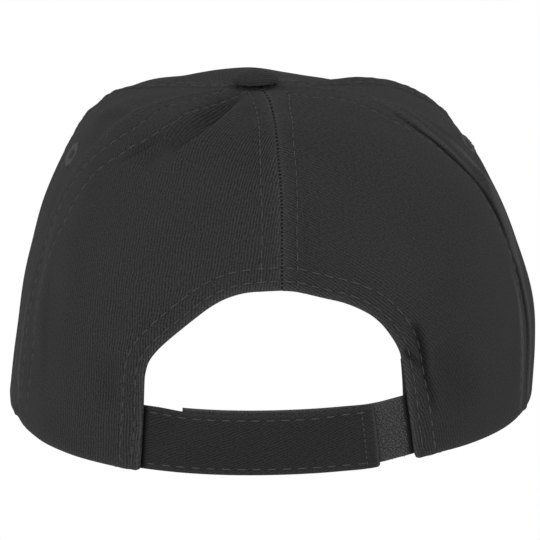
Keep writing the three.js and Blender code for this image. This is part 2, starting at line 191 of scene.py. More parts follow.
# The crown's rings from the rim to the button: reaches as shares of the half width and of the
# lengths to the back and front, rises as shares of the height.
RINGS = table(("share", "left", "right", "back", "front", "side_z", "back_z", "front_z"), [
    (0.00, 1.014, 1.000, 1.000, 1.000, 0.000, 0.000, 0.000),
    (0.14, 0.980, 1.021, 1.000, 1.010, 0.160, 0.150, 0.150),
    (0.28, 0.948, 1.016, 0.985, 1.005, 0.320, 0.310, 0.310),
    (0.42, 0.900, 0.962, 0.955, 0.980, 0.480, 0.475, 0.475),
    (0.55, 0.837, 0.899, 0.885, 0.945, 0.630, 0.630, 0.643),
    (0.67, 0.760, 0.817, 0.800, 0.895, 0.760, 0.765, 0.800),
    (0.78, 0.666, 0.684, 0.640, 0.776, 0.880, 0.880, 0.858),
    (0.88, 0.524, 0.462, 0.445, 0.515, 0.965, 0.960, 0.920),
    (0.95, 0.230, 0.216, 0.177, 0.242, 0.992, 0.992, 0.975),
    (1.00, 0.000, 0.000, 0.000, 0.000, 1.000, 1.000, 1.000),
])

# How far the back of the rim hangs below the rest at each turn, as shares of the sag.
SAG = table(("turn", "drop"), [
    (-60, 0.00),
    (-40, 0.08),
    (-30, 0.10),
    (-24, 0.45),
    (-19, 0.95),
    (-11, 1.00),
    (0, 1.00),
    (15, 0.92),
    (30, 0.72),
    (45, 0.50),
    (60, 0.25),
    (75, 0.00),
])

# The five seams, as turns in degrees at each share.
SEAMS = table(("share", "centre", "back_left", "back_right", "front_left", "front_right"), [
    (0.00, 4.0, 77.5, -64.5, 121.0, -121.0),
    (0.25, 2.5, 76.6, -63.4, 119.0, -119.0),
    (0.50, 0.0, 77.6, -69.4, 117.5, -115.5),
    (0.60, -0.6, 76.0, -67.8, 117.6, -113.4),
    (0.70, -1.5, 72.8, -62.2, 118.2, -111.0),
    (0.82, -2.5, 64.4, -60.3, 121.0, -107.5),
    (0.88, -3.6, 63.0, -66.5, 122.3, -105.5),
    (0.92, -5.0, 71.5, -73.0, 122.0, -104.0),
    (1.00, -8.0, 70.0, -78.0, 108.0, -96.0),
])

# Folds and dents of the whole crown, each along a line from one place to another. The width
# is a share of the half width and the depth a share of the height, below 0 for a dent.
FOLDS = [
    ("left crease", 27, 0.95, 40, 0.79, 0.050, -0.024),
    ("left ridge", 17, 0.95, 30, 0.78, 0.050, 0.010),
    ("right pucker", -63.5, 0.86, -70.5, 0.42, 0.030, -0.004),
    ("right roll", -69, 0.84, -75, 0.42, 0.050, 0.009),
    ("right shoulder", -110, 0.87, -113, 0.82, 0.130, 0.015),
    ("top notch", -137, 0.94, -146, 0.80, 0.100, -0.036),
    ("front crest", 175, 0.95, 180, 0.9, 0.150, 0.030),
    ("left shoulder", 148, 0.93, 142, 0.88, 0.100, 0.012),
]

# Small folds of the cloth. Each is a line of places with its lift there, how far it spreads
# to the two sides, to larger and to smaller turns as it runs down, and how much paler, or
# below 0 darker, the cloth is painted along it: painted shade in the hollows of the folds and
# painted highlights along their ridges and near the crown's sides.
CREASES = [
    ("left crease", 5.8, 0.55, -0.35,
     [(24, 0.965, 0), (21.5, 0.945, -2.2), (20.6, 0.923, -4.4), (21.8, 0.902, -5.4),
      (23.0, 0.880, -5.6), (24.8, 0.858, -5.0), (27.5, 0.838, -3.8), (30, 0.820, -2.0),
      (33.5, 0.797, 0)]),
    ("left second crease", 2.8, 0.4, -0.12,
     [(38, 0.852, 0), (40.2, 0.835, -0.9), (42.2, 0.820, -1.5), (45.0, 0.797, -1.5),
      (47, 0.780, -1.0), (49.5, 0.76, 0)]),
    ("right crease", 0.8, 1.05, -0.98,
     [(-66, 0.88, 0), (-62.5, 0.857, 0), (-60.8, 0.845, -0.3), (-59.8, 0.82, -0.9),
      (-59.6, 0.78, -1.3), (-60.1, 0.74, -1.5), (-61.8, 0.70, -1.6), (-64.7, 0.65, -1.7),
      (-67.4, 0.60, -1.7), (-68.8, 0.55, -1.7), (-69.0, 0.50, -1.6), (-68.0, 0.44, -1.5),
      (-66.5, 0.38, -1.3), (-64.6, 0.32, -1.1), (-63.3, 0.26, -0.9), (-62.6, 0.18, -0.6),
      (-63.0, 0.1, -0.4), (-64, 0.04, 0)]),
    ("right crease, lip", 0.7, 0.7, 0.5,
     [(-65, 0.84, 0), (-62.8, 0.80, 0.3), (-62.5, 0.76, 0.3), (-63.3, 0.72, 0.3),
      (-65.0, 0.69, 0.25), (-67, 0.655, 0)]),
    ("right roll", 2.2, 2.2, 0.15,
     [(-69, 0.895, 0), (-66.5, 0.862, 0.6), (-65.2, 0.820, 1.1), (-65.0, 0.753, 1.4),
      (-66.5, 0.700, 1.4), (-69.8, 0.640, 1.3), (-72.5, 0.580, 1.2), (-73.2, 0.500, 1.0),
      (-72.8, 0.420, 0.6), (-71, 0.34, 0)]),
    ("right roll, edge", 0.9, 1.3, 1.3,
     [(-67, 0.76, 0), (-69.8, 0.69, 0.2), (-71.0, 0.61, 0.3), (-71.6, 0.53, 0.3),
      (-71.8, 0.46, 0.3), (-70.4, 0.383, 0.3), (-67.6, 0.31, 0.3), (-66.2, 0.23, 0.3),
      (-66.2, 0.145, 0.3), (-66.6, 0.04, 0.2)]),
    ("right hem fold", 1.5, 1.2, -0.6,
     [(-28.0, 0.375, 0), (-28.5, 0.345, -1.2), (-28.8, 0.310, -1.6), (-29.0, 0.270, -1.5),
      (-29.2, 0.230, -1.3), (-29.8, 0.193, -1.0), (-30.5, 0.158, -0.6), (-31, 0.12, 0)]),
    ("right hem edge fold", 1.1, 0.9, -0.4,
     [(-24.6, 0.308, 0), (-25.4, 0.300, -0.9), (-26.6, 0.280, -1.1), (-27.6, 0.262, -0.8),
      (-28.2, 0.24, 0)]),
    ("right hem shade", 6.0, 6.0, -0.15,
     [(-32.5, 0.30, 0), (-34.5, 0.235, -1.4), (-36.5, 0.17, -1.4), (-38, 0.10, 0)]),
    ("left hem shade", 6.0, 2.0, -0.12,
     [(38.5, 0.30, 0), (39.5, 0.25, -0.9), (39, 0.20, -0.9), (38, 0.15, 0)]),
    ("left upper ripple", 3.0, 5.0, 0,
     [(92, 0.825, 0), (86, 0.842, 0.2), (78.2, 0.860, 0.6), (69.0, 0.878, 0.6),
      (66.5, 0.895, 0)]),
    ("left ripple", 2.4, 2.4, 0.22,
     [(72, 0.58, 0), (70.0, 0.48, 0.3), (69.2, 0.40, 0.4), (68.6, 0.32, 0.3), (67, 0.22, 0)]),
    ("left ripple, valley", 3.0, 3.0, -0.05,
     [(66, 0.50, 0), (64.5, 0.38, -0.4), (61.5, 0.25, -0.4), (59, 0.1, 0)]),
    ("left bright ridge", 0.9, 0.9, 0.8,
     [(77, 0.36, 0), (76.5, 0.245, 0.4), (76.8, 0.188, 0.6), (76.6, 0.130, 0.6),
      (75.5, 0.077, 0.4), (76, 0.03, 0)]),
    # A painted highlight along the crown's left side.
    ("left edge, faded", 3.0, 3.0, 0.15,
     [(87, 0.45, 0), (84, 0.34, 0.01), (84, 0.223, 0.01), (84, 0.105, 0.01), (82, 0.03, 0.01)]),
    ("right edge ridge", 0.8, 0.8, 1.8,
     [(-62.6, 0.42, 0), (-62.0, 0.36, 0.08), (-61.3, 0.32, 0.3), (-60.0, 0.27, 0.6),
      (-59.2, 0.20, 0.6), (-59.2, 0.107, 0.6), (-60.0, 0.05, 0.5), (-60.5, 0.01, 0)]),
]
# The painted highlight or painted shade along a fold is wider than its lift by this much.
PAINTED_LIGHT_WIDTH = 1.35

# The rows of stitches, each a line of places on a panel.
ROWS = [
    ("back_panel_left",
     [(22, 0.975), (24.0, 0.970), (30.0, 0.959), (35.8, 0.946), (38.2, 0.933), (39.8, 0.920),
      (41.0, 0.909), (40.2, 0.893), (40.0, 0.880), (40.8, 0.870), (42.2, 0.850), (44.8, 0.828),
      (47.5, 0.812), (50.0, 0.795), (52.0, 0.777), (54.8, 0.758), (58.3, 0.728), (60.7, 0.703),
      (62.4, 0.675), (63.8, 0.640), (64.9, 0.605), (65.8, 0.565), (67.0, 0.527), (68.2, 0.480),
      (69.0, 0.438), (69.3, 0.395), (69.0, 0.330), (68.6, 0.25), (68.4, 0.12), (68.4, 0)]),
    ("back_panel_left",
     [(66.0, 0.976), (60.5, 0.964), (59.0, 0.944), (58.6, 0.929), (58.6, 0.916), (56.5, 0.900),
      (53.4, 0.888), (52.0, 0.873), (52.0, 0.853), (53.5, 0.838), (56.2, 0.820), (58.8, 0.800),
      (60.8, 0.782), (63.0, 0.760), (65.4, 0.740), (67.6, 0.718), (69.8, 0.693), (71.4, 0.662),
      (72.4, 0.640), (73.0, 0.608), (73.6, 0.575), (74.1, 0.542), (74.6, 0.510), (75.0, 0.463),
      (75.2, 0.42), (74.6, 0.3), (74.0, 0.15), (74.2, 0)]),
    ("back_panel_left",
     [(19.8, 0.975), (9.6, 0.950), (6.2, 0.930), (4.4, 0.912), (3.5, 0.880), (3.5, 0.840),
      (4.0, 0.740), (4.2, 0.650), (4.8, 0.555), (5.1, 0.489)]),
    ("back_panel_right",
     [(-36, 0.972), (-37.5, 0.962), (-39.5, 0.946), (-46.0, 0.931), (-53.0, 0.922),
      (-55.0, 0.911), (-55.0, 0.897), (-55.0, 0.885), (-54.4, 0.870), (-54.2, 0.853),
      (-55.4, 0.833), (-56.6, 0.815), (-57.2, 0.795), (-57.6, 0.775), (-58.2, 0.740),
      (-59.8, 0.700), (-62.4, 0.650), (-64.8, 0.600), (-65.4, 0.550), (-65.6, 0.497),
      (-66.4, 0.430), (-65.5, 0.383), (-62.5, 0.330), (-60.2, 0.278), (-58.8, 0.170),
      (-59.4, 0.05), (-59.4, 0)]),
    ("back_panel_right",
     [(-30, 0.955), (-21, 0.935), (-15.5, 0.913), (-11.8, 0.880), (-9.2, 0.848), (-7.8, 0.810),
      (-6.8, 0.760), (-6.0, 0.715), (-4.5, 0.623), (-4.0, 0.552), (-3.5, 0.488)]),
]

# The half-moon opening, from the middle of its top down each side to where the hem falls
# straight to the rim.
OPENING = table(("along", "left_turn", "left_share", "right_turn", "right_share"), [
    (0.0, 0.2, 0.484, 0.2, 0.484),
    (0.1, 5.0, 0.483, -3.2, 0.480),
    (0.2, 9.5, 0.479, -6.6, 0.470),
    (0.3, 13.8, 0.466, -10.0, 0.459),
    (0.4, 17.6, 0.444, -13.3, 0.448),
    (0.5, 21.0, 0.415, -16.4, 0.432),
    (0.6, 24.2, 0.384, -19.2, 0.410),
    (0.7, 27.0, 0.354, -21.2, 0.383),
    (0.8, 29.2, 0.326, -22.6, 0.353),
    (0.9, 30.8, 0.297, -23.6, 0.325),
    (1.0, 31.5, 0.262, -24.2, 0.299),
])
HEM_TURN = {"left": 31.6, "right": -26.9}
HEM_CURVE = 1.4
OPENING_COLUMNS = 0.45
HEM_COLUMNS = 0.66
CORNER_ROUND = 0.008


def finish(*values):
    """How a panel's edge is finished: its groove at the seam, the puff beside it, how far the
    turned-in cloth reaches, and the rows of stitches, all from the edge."""
    return dict(zip(("groove", "groove_width", "puff", "puff_at", "puff_width", "turned_in",
                     "rows"), values))


EDGES = {
    ("back_panel_left", "centre"): finish(1.1, 0.28, 0.12, 3.0, 2.0, 7.0, ()),
    ("back_panel_right", "centre"): finish(1.1, 0.28, 0.12, 2.8, 2.0, 7.0, ()),
    ("back_panel_left", "back_left"): finish(0.5, 0.3, 0.45, 0.8, 0.9, 0.0, ()),
    ("side_panel_left", "back_left"): finish(0.6, 0.4, 0.3, 0.9, 0.9, 0.0, ()),
    ("back_panel_right", "back_right"): finish(0.3, 0.3, 0.3, 1.0, 0.8, 0.0, ()),
    ("side_panel_right", "back_right"): finish(0.4, 0.3, 0.4, 1.0, 0.8, 0.0, ()),
}
for side in ("left", "right"):
    for panel in (f"side_panel_{side}", "front_panel"):
        EDGES[panel, f"front_{side}"] = finish(0.4, 0.3, 0.3, 1.0, 0.9, 5.0, (3.0,))
HEM_FINISH = finish(0.0, 1.0, 0.25, 5.2, 1.5, 8.6, (2.8, 7.2))
RIM_FINISH = finish(0.0, 1.0, 0.0, 2.0, 1.0, 0.0, ())
TURNED_IN_LIFT = 0.35
TURNED_IN_FALL = 0.8
EDGE_ROUND = 0.7
WORN_REACH = 1.2
LAYER_WORN_REACH = 0.8
SMOOTH_ANGLE = 50
SEAM_OVERLAP = 0.12
TAPE_HALF_WIDTH = 7
TAPE_LIFT = 0.5

PUCKER_LIFT = 0.2
PUCKER_REACH = 6.5
PRESSED_REACH = {"left": 40, "right": 15}
WAVE_LIFT = 0.16

STEP_REACHES = (0, 1.0, 2.2, 9.5, 20)
STEPS = (0.14, 0.24, 0.36, 0.4, 1.1)
CREASE_STEP = 0.5


def smooth_column(rows, key, name, at):
    """One column of a table, on a smooth curve through its rows."""
    places = rows[key]
    values = rows[name]
    steps = np.diff(places)
    slopes = np.diff(values) / steps
    bends = (slopes[:-1] * steps[1:] + slopes[1:] * steps[:-1]) / (steps[1:] + steps[:-1])
    tangents = np.concatenate([slopes[:1], bends, slopes[-1:]])
    at = np.asarray(at, float)
    row = np.clip(np.searchsorted(places, at, side="right") - 1, 0, len(steps) - 1)
    u = (at - places[row]) / steps[row]
    return ((2 * u**3 - 3 * u**2 + 1) * values[row]
            + (u**3 - 2 * u**2 + u) * tangents[row] * steps[row]
            + (3 * u**2 - 2 * u**3) * values[row + 1]
            + (u**3 - u**2) * tangents[row + 1] * steps[row])


def mix(a, b, share):
    return a + (b - a) * share


def ramp(value, start, end):
    """0 before start, 1 after end, and smooth between them."""
    u = np.clip((value - start) / (end - start), 0, 1)
    return u * u * (3 - 2 * u)


def unit(vectors):
    return vectors / np.linalg.norm(vectors, axis=-1, keepdims=True)


def length_of_turn(share):
    """Millimetres along the surface for one degree of turn."""
    width = (smooth_column(RINGS, "share", "left", share)
             + smooth_column(RINGS, "share", "right", share)) / 2
    return np.radians(width * CROWN_HALF_WIDTH)


def folds_lift(turn, share):
    """How far the folds of the whole crown lift the surface."""
    across = length_of_turn(share)
    up = UP_RUN * CROWN_HEIGHT
    lift = np.zeros(np.broadcast(turn, share).shape)
    for _, from_turn, from_share, to_turn, to_share, width, depth in FOLDS:
        x = wrapped(turn - from_turn) * across
        y = (share - from_share) * up
        line_x = (to_turn - from_turn) * across
        line_y = (to_share - from_share) * up
        along = np.clip((x * line_x + y * line_y) / (line_x**2 + line_y**2), 0, 1)
        away = np.hypot(x - line_x * along, y - line_y * along) / (width * CROWN_HALF_WIDTH)
        lift += depth * CROWN_HEIGHT * np.exp(-away**2)
    return lift * np.clip((FOLDS_END - share) / FOLDS_FADE, 0, 1)


def wrapped(turn):
    """A difference of two turns, from -180 to 180."""
    return (turn + 180) % 360 - 180


def sag_at(turn):
    """How far the rim hangs at a turn."""
    within = np.clip(wrapped(turn), SAG["turn"][0], SAG["turn"][-1])
    return BACK_SAG * smooth_column(SAG, "turn", "drop", within)


def crown_point(turn, share):
    """A point of the crown's outer surface."""
    turn, share = np.broadcast_arrays(np.asarray(turn, float), np.asarray(share, float))
    ring = {name: smooth_column(RINGS, "share", name, share) for name in RINGS}
    side = np.sin(np.radians(turn))
    rear = np.cos(np.radians(turn))
    fill = 1 + CORNER_FILL * np.sin(2 * np.radians(turn))**2
    toward_back = np.maximum(rear, 0)**2
    toward_front = np.maximum(-rear, 0)**2
    rise = (ring["side_z"] + (ring["back_z"] - ring["side_z"]) * toward_back
            + (ring["front_z"] - ring["side_z"]) * toward_front)
    rim = (FRONT_ARCH * toward_front + np.where(side > 0, LEFT_LIFT, RIGHT_LIFT) * side**2
           - sag_at(turn))
    point = np.stack([
        fill * CROWN_HALF_WIDTH * side * np.where(side > 0, ring["left"], ring["right"])
        + BUTTON_LEAN * rise,
        fill * rear * np.where(rear > 0, ring["back"] * CROWN_BACK, ring["front"] * CROWN_FRONT),
        mix(rim, CROWN_HEIGHT, rise),
    ], axis=-1)
    outward = unit(point - np.array([0, 0, FOLD_CENTRE * CROWN_HEIGHT]))
    return point + outward * folds_lift(turn, share)[..., None]


def crown_normal(turn, share):
    """The surface's outward direction."""
    step = 1e-3
    low = np.minimum(share, 1 - 2 * step)
    across = crown_point(turn + 1, low) - crown_point(turn - 1, low)
    up = crown_point(turn, low + step) - crown_point(turn, np.maximum(low - step, 0))
    return unit(np.cross(up, across))


def crown_layer(turn, share, depth):
    """A point at a depth inside the outer surface."""
    return crown_point(turn, share) - crown_normal(turn, share) * np.asarray(depth)[..., None]


def share_at_height(turn, height):
    """The share at which the surface has climbed to a height above the rim."""
    turn, height = np.broadcast_arrays(np.asarray(turn, float), np.asarray(height, float))
    rim = crown_point(turn, np.zeros_like(turn))[..., 2]
    low = np.zeros_like(turn)
    high = np.full_like(turn, 0.9)
    for _ in range(24):
        middle = (low + high) / 2
        under = crown_point(turn, middle)[..., 2] - rim < height
        low = np.where(under, middle, low)
        high = np.where(under, high, middle)
    return (low + high) / 2


def turn_of_length(length):
    """Degrees of turn for a length along the rim."""
    return length / float(length_of_turn(np.array(0.0)))


STRAP_TURN_LENGTH = float(length_of_turn(np.array(STRAP_SHARE)))


def apex_share():
    """The share at which the crown has closed in to the hole for the button's stem."""
    shares = np.linspace(0.9, 1, 2001)
    reach = smooth_column(RINGS, "share", "left", shares) * CROWN_HALF_WIDTH
    return float(shares[np.argmax(reach < APEX_RADIUS)])


APEX_SHARE = apex_share()


def seam_turn(name, share):
    return smooth_column(SEAMS, "share", name, share)


def lower_edge(side, column):
    """The lower edge of a back panel: columns from 0 at the centre seam, along the opening,
    down the hem and along the rim to 1 at the side seam."""
    along = np.minimum(column / OPENING_COLUMNS, 1)
    end_turn = smooth_column(OPENING, "along", f"{side}_turn", along)
    end_share = smooth_column(OPENING, "along", f"{side}_share", along)
    down = np.clip((column - OPENING_COLUMNS) / (HEM_COLUMNS - OPENING_COLUMNS), 0, 1)
    share = end_share * (1 - down)
    hem_turn = mix(end_turn, HEM_TURN[side], down**HEM_CURVE)
    out = np.clip((column - HEM_COLUMNS) / (1 - HEM_COLUMNS), 0, 1)
    rim_turn = mix(HEM_TURN[side], seam_turn(f"back_{side}", np.zeros_like(column)), out)
    return np.where(column <= HEM_COLUMNS, hem_turn, rim_turn), share


def rounded_lower_edge(side, column):
    """The same edge with its corners rounded, as turned cloth has them."""
    column = np.asarray(column, float)
    reach = CORNER_ROUND * ramp(np.minimum(column, 1 - column), 0, 4 * CORNER_ROUND)
    found = [lower_edge(side, column + reach * step) for step in np.linspace(-1, 1, 7)]
    return np.mean([f[0] for f in found], axis=0), np.mean([f[1] for f in found], axis=0)


def smooth_path(places, count=240):
    """A smooth line of turns and shares through a few places, and any third column there."""
    columns = ("turn", "share", "lift")[:len(places[0])]
    rows = table(("step",) + columns, [(i, *place) for i, place in enumerate(places)])
    at = np.linspace(0, len(places) - 1, count)
    return [smooth_column(rows, "step", name, at) for name in columns]


def seam_places(name, start=0.0, count=500):
    share = np.linspace(start, APEX_SHARE, count)
    return seam_turn(name, share), share


def rim_places(start, end, count=500):
    return np.linspace(start, end, count), np.zeros(count)


FULL = np.linspace(0, 1, 900)
HEM = np.linspace(0, HEM_COLUMNS, 700)
OUT = np.linspace(HEM_COLUMNS, 1, 300)
PLACES = {
    "centre": seam_places("centre", 0.48),
    "back_left": seam_places("back_left"),
    "back_right": seam_places("back_right"),
    "front_left": seam_places("front_left"),
    "front_right": seam_places("front_right"),
    "edge_left": rounded_lower_edge("left", FULL),
    "edge_right": rounded_lower_edge("right", FULL),
    "hem_left": rounded_lower_edge("left", HEM),
    "hem_right": rounded_lower_edge("right", HEM),
    "rim_back_left": rounded_lower_edge("left", OUT),
    "rim_back_right": rounded_lower_edge("right", OUT),
    "rim_side_left": rim_places(77.5, 121),
    "rim_side_right": rim_places(-121, -65),
    "rim_front": rim_places(121, 239),
}
CURVES = {name: crown_point(*places) for name, places in PLACES.items()}
CREASE_PATHS = [(*crease[1:4], *smooth_path(crease[4])) for crease in CREASES]
ROW_PATHS = [(panel, smooth_path(places)) for panel, places in ROWS]


def run_length(curve):
    """How far along a curve each of its points lies."""
    steps = np.linalg.norm(np.diff(curve, axis=0), axis=1)
    return np.concatenate([[0], np.cumsum(steps)])


def distance_to(curve, points):
    """How far points lie from a curve, and how far along it their nearest place is."""
    flat = points.reshape(-1, 3)
    steps = np.linalg.norm(np.diff(curve, axis=0), axis=1)
    length = run_length(curve)
    nearest = np.concatenate([
        np.argmin((curve**2).sum(1) - 2 * part @ curve.T, axis=1)
        for part in np.array_split(flat, max(len(flat) // 4000, 1))
    ])
    best = np.full(len(flat), np.inf)
    along = np.zeros(len(flat))
    for offset in (-1, 0):
        start = np.clip(nearest + offset, 0, len(curve) - 2)
        line = curve[start + 1] - curve[start]
        away = flat - curve[start]
        u = np.clip((away * line).sum(1) / np.maximum((line**2).sum(1), 1e-12), 0, 1)
        far = np.linalg.norm(away - line * u[:, None], axis=1)
        closer = far < best
        best = np.where(closer, far, best)
        along = np.where(closer, length[start] + u * steps[start], along)
    return best.reshape(points.shape[:-1]), along.reshape(points.shape[:-1])


def bell(value, middle, width):
    return np.exp(-((value - middle) / width)**2)


def creases_lift(turn, share, points):
    """How far the small folds lift the cloth, and the painted shade or painted highlight along
    them.
    """
    across = length_of_turn(share)
    up = UP_RUN * CROWN_HEIGHT
    total = np.zeros(turn.shape)
    painted_light_and_wear = np.zeros(turn.shape)
    for larger_width, smaller_width, shade, path_turn, path_share, path_lift in CREASE_PATHS:
        curve = crown_point(path_turn, path_share)
        length = run_length(curve)
        away, along = distance_to(curve, points)
        beside = wrapped(turn - np.interp(along, length, path_turn)) * across
        above = (share - np.interp(along, length, path_share)) * up
        run_x = np.interp(along, length, np.gradient(path_turn)) * across
        run_y = np.interp(along, length, np.gradient(path_share)) * up
        side = run_x * above - run_y * beside
        width = np.where(side > 0, larger_width, smaller_width)
        height = np.interp(along, length, path_lift)
        total += height * np.exp(-(away / width)**2)
        here = np.abs(height) / np.abs(path_lift).max()
        line = shade * np.sqrt(here) * np.exp(-(away / (width * PAINTED_LIGHT_WIDTH))**2)
        painted_light_and_wear = np.where(np.abs(line) > np.abs(painted_light_and_wear), line, painted_light_and_wear)
    return total * np.clip((FOLDS_END - share) / FOLDS_FADE, 0, 1), painted_light_and_wear


def wave_table():
    """Directions, lengths and starts of the slow waves of the cloth."""
    random = np.random.default_rng(SEED)
    count = 9
    directions = unit(random.normal(size=(count, 3)))
    return directions, random.uniform(18, 55, count), random.uniform(0, 2 * math.pi, count)


WAVES = wave_table()


def moat_lift(points):
    """The crown sinks a little close round the button, which leaves a shadow under its rim."""
    away = np.hypot(points[..., 0] - BUTTON_LEAN - BUTTON_ASIDE, points[..., 1])
    return -MOAT_DEPTH * bell(away, BUTTON_RADIUS - MOAT_INSET, MOAT_WIDTH)


def waves_lift(points):
    """The slow unevenness of cloth that nothing stretches."""
    directions, lengths, starts = WAVES
    phase = points @ directions.T * (2 * math.pi / lengths) + starts
    return WAVE_LIFT * np.sin(phase).sum(axis=-1) / 2


def pucker(along, seed):
    """The uneven gathering along a sewn row."""
    random = np.random.default_rng(seed)
    lift = np.zeros(along.shape)
    for length in (5.3, 7.9, 12.7, 21.0):
        lift += np.sin(2 * math.pi * along / length + random.uniform(0, 2 * math.pi))
    return lift / 2


def finish_lift(finish, distance, along, seed):
    """The relief of a sewn edge, from the distance to it."""
    lift = -finish["groove"] * bell(distance, 0, finish["groove_width"])
    lift += finish["puff"] * bell(distance, finish["puff_at"], finish["puff_width"])
    if finish["turned_in"]:
        reach = finish["turned_in"]
        lift += TURNED_IN_LIFT * (1 - ramp(distance, reach, reach + TURNED_IN_FALL))
    for row in finish["rows"]:
        lift -= ROW_DIP * bell(distance, row, ROW_DIP_WIDTH)
    if finish["rows"]:
        lift += PUCKER_LIFT * pucker(along, seed) * np.exp(-(distance / PUCKER_REACH)**2)
    return lift


def edge_round(distance):
    """How far an edge's surface turns in, close to the edge."""
    u = np.clip(1 - distance / EDGE_ROUND, 0, 1)
    return EDGE_ROUND * (1 - np.sqrt(1 - u * u))


PANEL_EDGES = {
    "front_panel": (("front_left", "front_right"), "rim_front", RIM_FINISH),
    "side_panel_left": (("back_left", "front_left"), "rim_side_left", RIM_FINISH),
    "side_panel_right": (("back_right", "front_right"), "rim_side_right", RIM_FINISH),
    "back_panel_left": (("centre", "back_left"), "hem_left", HEM_FINISH),
    "back_panel_right": (("centre", "back_right"), "hem_right", HEM_FINISH),
}
LARGER_SEAMS = (("side_panel_left", "front_left"), ("front_panel", "front_right"),
                ("side_panel_right", "back_right"), ("back_panel_left", "back_left"),
                ("back_panel_right", "centre"))
SECOND_EDGE = {"back_panel_left": "rim_back_left", "back_panel_right": "rim_back_right"}


def cloth_lift(panel, turn, share):
    """The lift of a panel's outer and inner surfaces, how near an edge each place is, and how
    near a pressed edge, the centre seam or the hem, and the painted shade and highlight of the
    folds."""
    points = crown_point(turn, share)
    folds, painted_light_and_wear = creases_lift(turn, share, points)
    shape = folds + waves_lift(points) + moat_lift(points)
    seams, lower, lower_finish = PANEL_EDGES[panel]
    outer = shape.copy()
    inner = shape.copy()
    nearest = np.full(shape.shape, np.inf)
    pressed = np.full(shape.shape, np.inf)
    for number, seam in enumerate(seams):
        distance, along = distance_to(CURVES[seam], points)
        outer += finish_lift(EDGES[panel, seam], distance, along, SEED + len(seam) + number)
        inner -= TAPE_LIFT * (1 - ramp(distance, TAPE_HALF_WIDTH, TAPE_HALF_WIDTH + 1))
        nearest = np.minimum(nearest, distance)
        if seam == "centre":
            pressed = distance
    for row_panel, (row_turn, row_share) in ROW_PATHS:
        if row_panel == panel:
            distance, _ = distance_to(crown_point(row_turn, row_share), points)
            outer -= ROW_DIP * bell(distance, 0, ROW_DIP_WIDTH)
    distance, along = distance_to(CURVES[lower], points)
    outer += finish_lift(lower_finish, distance, along, SEED + 3)
    if panel in SECOND_EDGE:
        pressed = np.minimum(pressed, distance)
        distance = np.minimum(distance, distance_to(CURVES[SECOND_EDGE[panel]], points)[0])
    outer -= edge_round(distance)
    inner += edge_round(distance)
    return outer, inner, np.minimum(nearest, distance), pressed, painted_light_and_wear


def spread(length, fine_start, fine_end, coarse=STEPS[-1]):
    """Places along a length, from 0 to 1, close together near the ends that are asked for."""
    places = [0.0]
    while places[-1] < length:
        near = min(places[-1] if fine_start else length,
                   length - places[-1] if fine_end else length)
        step = float(np.interp(near, STEP_REACHES, STEPS))
        places.append(places[-1] + min(step, coarse))
    return np.array(places) / places[-1]


def columns_along(curve, params, fine=True):
    """Parameters of a curve whose places lie evenly, and closely near its two ends."""
    length = run_length(curve)
    return np.interp(spread(length[-1], fine, fine) * length[-1], length, params)


def select_only(piece):
    bpy.ops.object.select_all(action="DESELECT")
    piece.select_set(True)
    bpy.context.view_layer.objects.active = piece


def made_piece(name):
    """The object that an operator has just made, named and selected alone."""
    piece = bpy.context.object
    piece.name = name
    piece.data.name = name
    select_only(piece)
    return piece


def placed(points):
    """Crown coordinates in millimetres as metres in the frame."""
    return points * MM + ORIGIN


def set_points(mesh, points):
    mesh.vertices.foreach_set("co", placed(points).reshape(-1).astype(np.float32))


def set_uv(mesh, uv):
    """Give each corner of the mesh the flat place of its point."""
    corner = np.zeros(len(mesh.loops), np.int32)
    mesh.loops.foreach_get("vertex_index", corner)
    mesh.uv_layers.active.data.foreach_set(
        "uv", uv.reshape(-1, 2)[corner].reshape(-1).astype(np.float32))


def set_attribute(mesh, label, values):
    attribute = mesh.attributes.new(label, "FLOAT", "POINT")
    attribute.data.foreach_set("value", values.reshape(-1).astype(np.float32))


def half_at_edge(edge, half, least):
    """Half the thickness of a sheet with a rounded edge, and never under a share of it."""
    u = np.clip(1 - edge / half, 0, 1)
    return half * np.maximum(np.sqrt(1 - u * u), least)


def closed_sheet(name, outer, inner, uv, worn, pressed=None, painted_light_and_wear=None):
    """A closed sheet of cloth from its two faces, each a grid of points, rows up and columns
    across toward smaller turns. Worn is 1 at its edges, pressed 1 where its ribs show most, and
    the painted light and wear above 0 where painted highlight or wear makes the cloth paler and
    below 0 where painted shade makes it darker."""
    rows, columns = outer.shape[:2]
    bpy.ops.mesh.primitive_grid_add(x_subdivisions=columns - 1, y_subdivisions=rows - 1, size=1)
    piece = made_piece(name)
    mesh = piece.data
    set_points(mesh, outer)
    set_uv(mesh, uv)
    pressed = np.ones(worn.shape) if pressed is None else pressed
    painted_light_and_wear = np.zeros(worn.shape) if painted_light_and_wear is None else painted_light_and_wear
    for label, values in (("worn", worn), ("pressed", pressed), ("painted_light_and_wear", painted_light_and_wear)):
        set_attribute(mesh, label, values)
    wall = piece.modifiers.new("wall", "SOLIDIFY")
    wall.thickness = CLOTH * MM
    wall.offset = -1
    bpy.ops.object.modifier_apply(modifier=wall.name)
    set_points(mesh, np.concatenate([outer.reshape(-1, 3), inner.reshape(-1, 3)]))
    mesh.update()
    bpy.ops.object.shade_smooth_by_angle(angle=math.radians(SMOOTH_ANGLE))
    return piece


def flat_cloth(turn, share, middle_turn):
    """Where a place lies on the panel's flat cloth, in millimetres."""
    return np.stack([(turn - middle_turn) * length_of_turn(share),
                     share * UP_RUN * CROWN_HEIGHT], axis=-1)


def finish_piece(piece, material, slot, *nodes):
    piece.data.materials.clear()
    piece.data.materials.append(material)
    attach(piece, "root")
    if nodes:
        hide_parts(*nodes)
    return piece


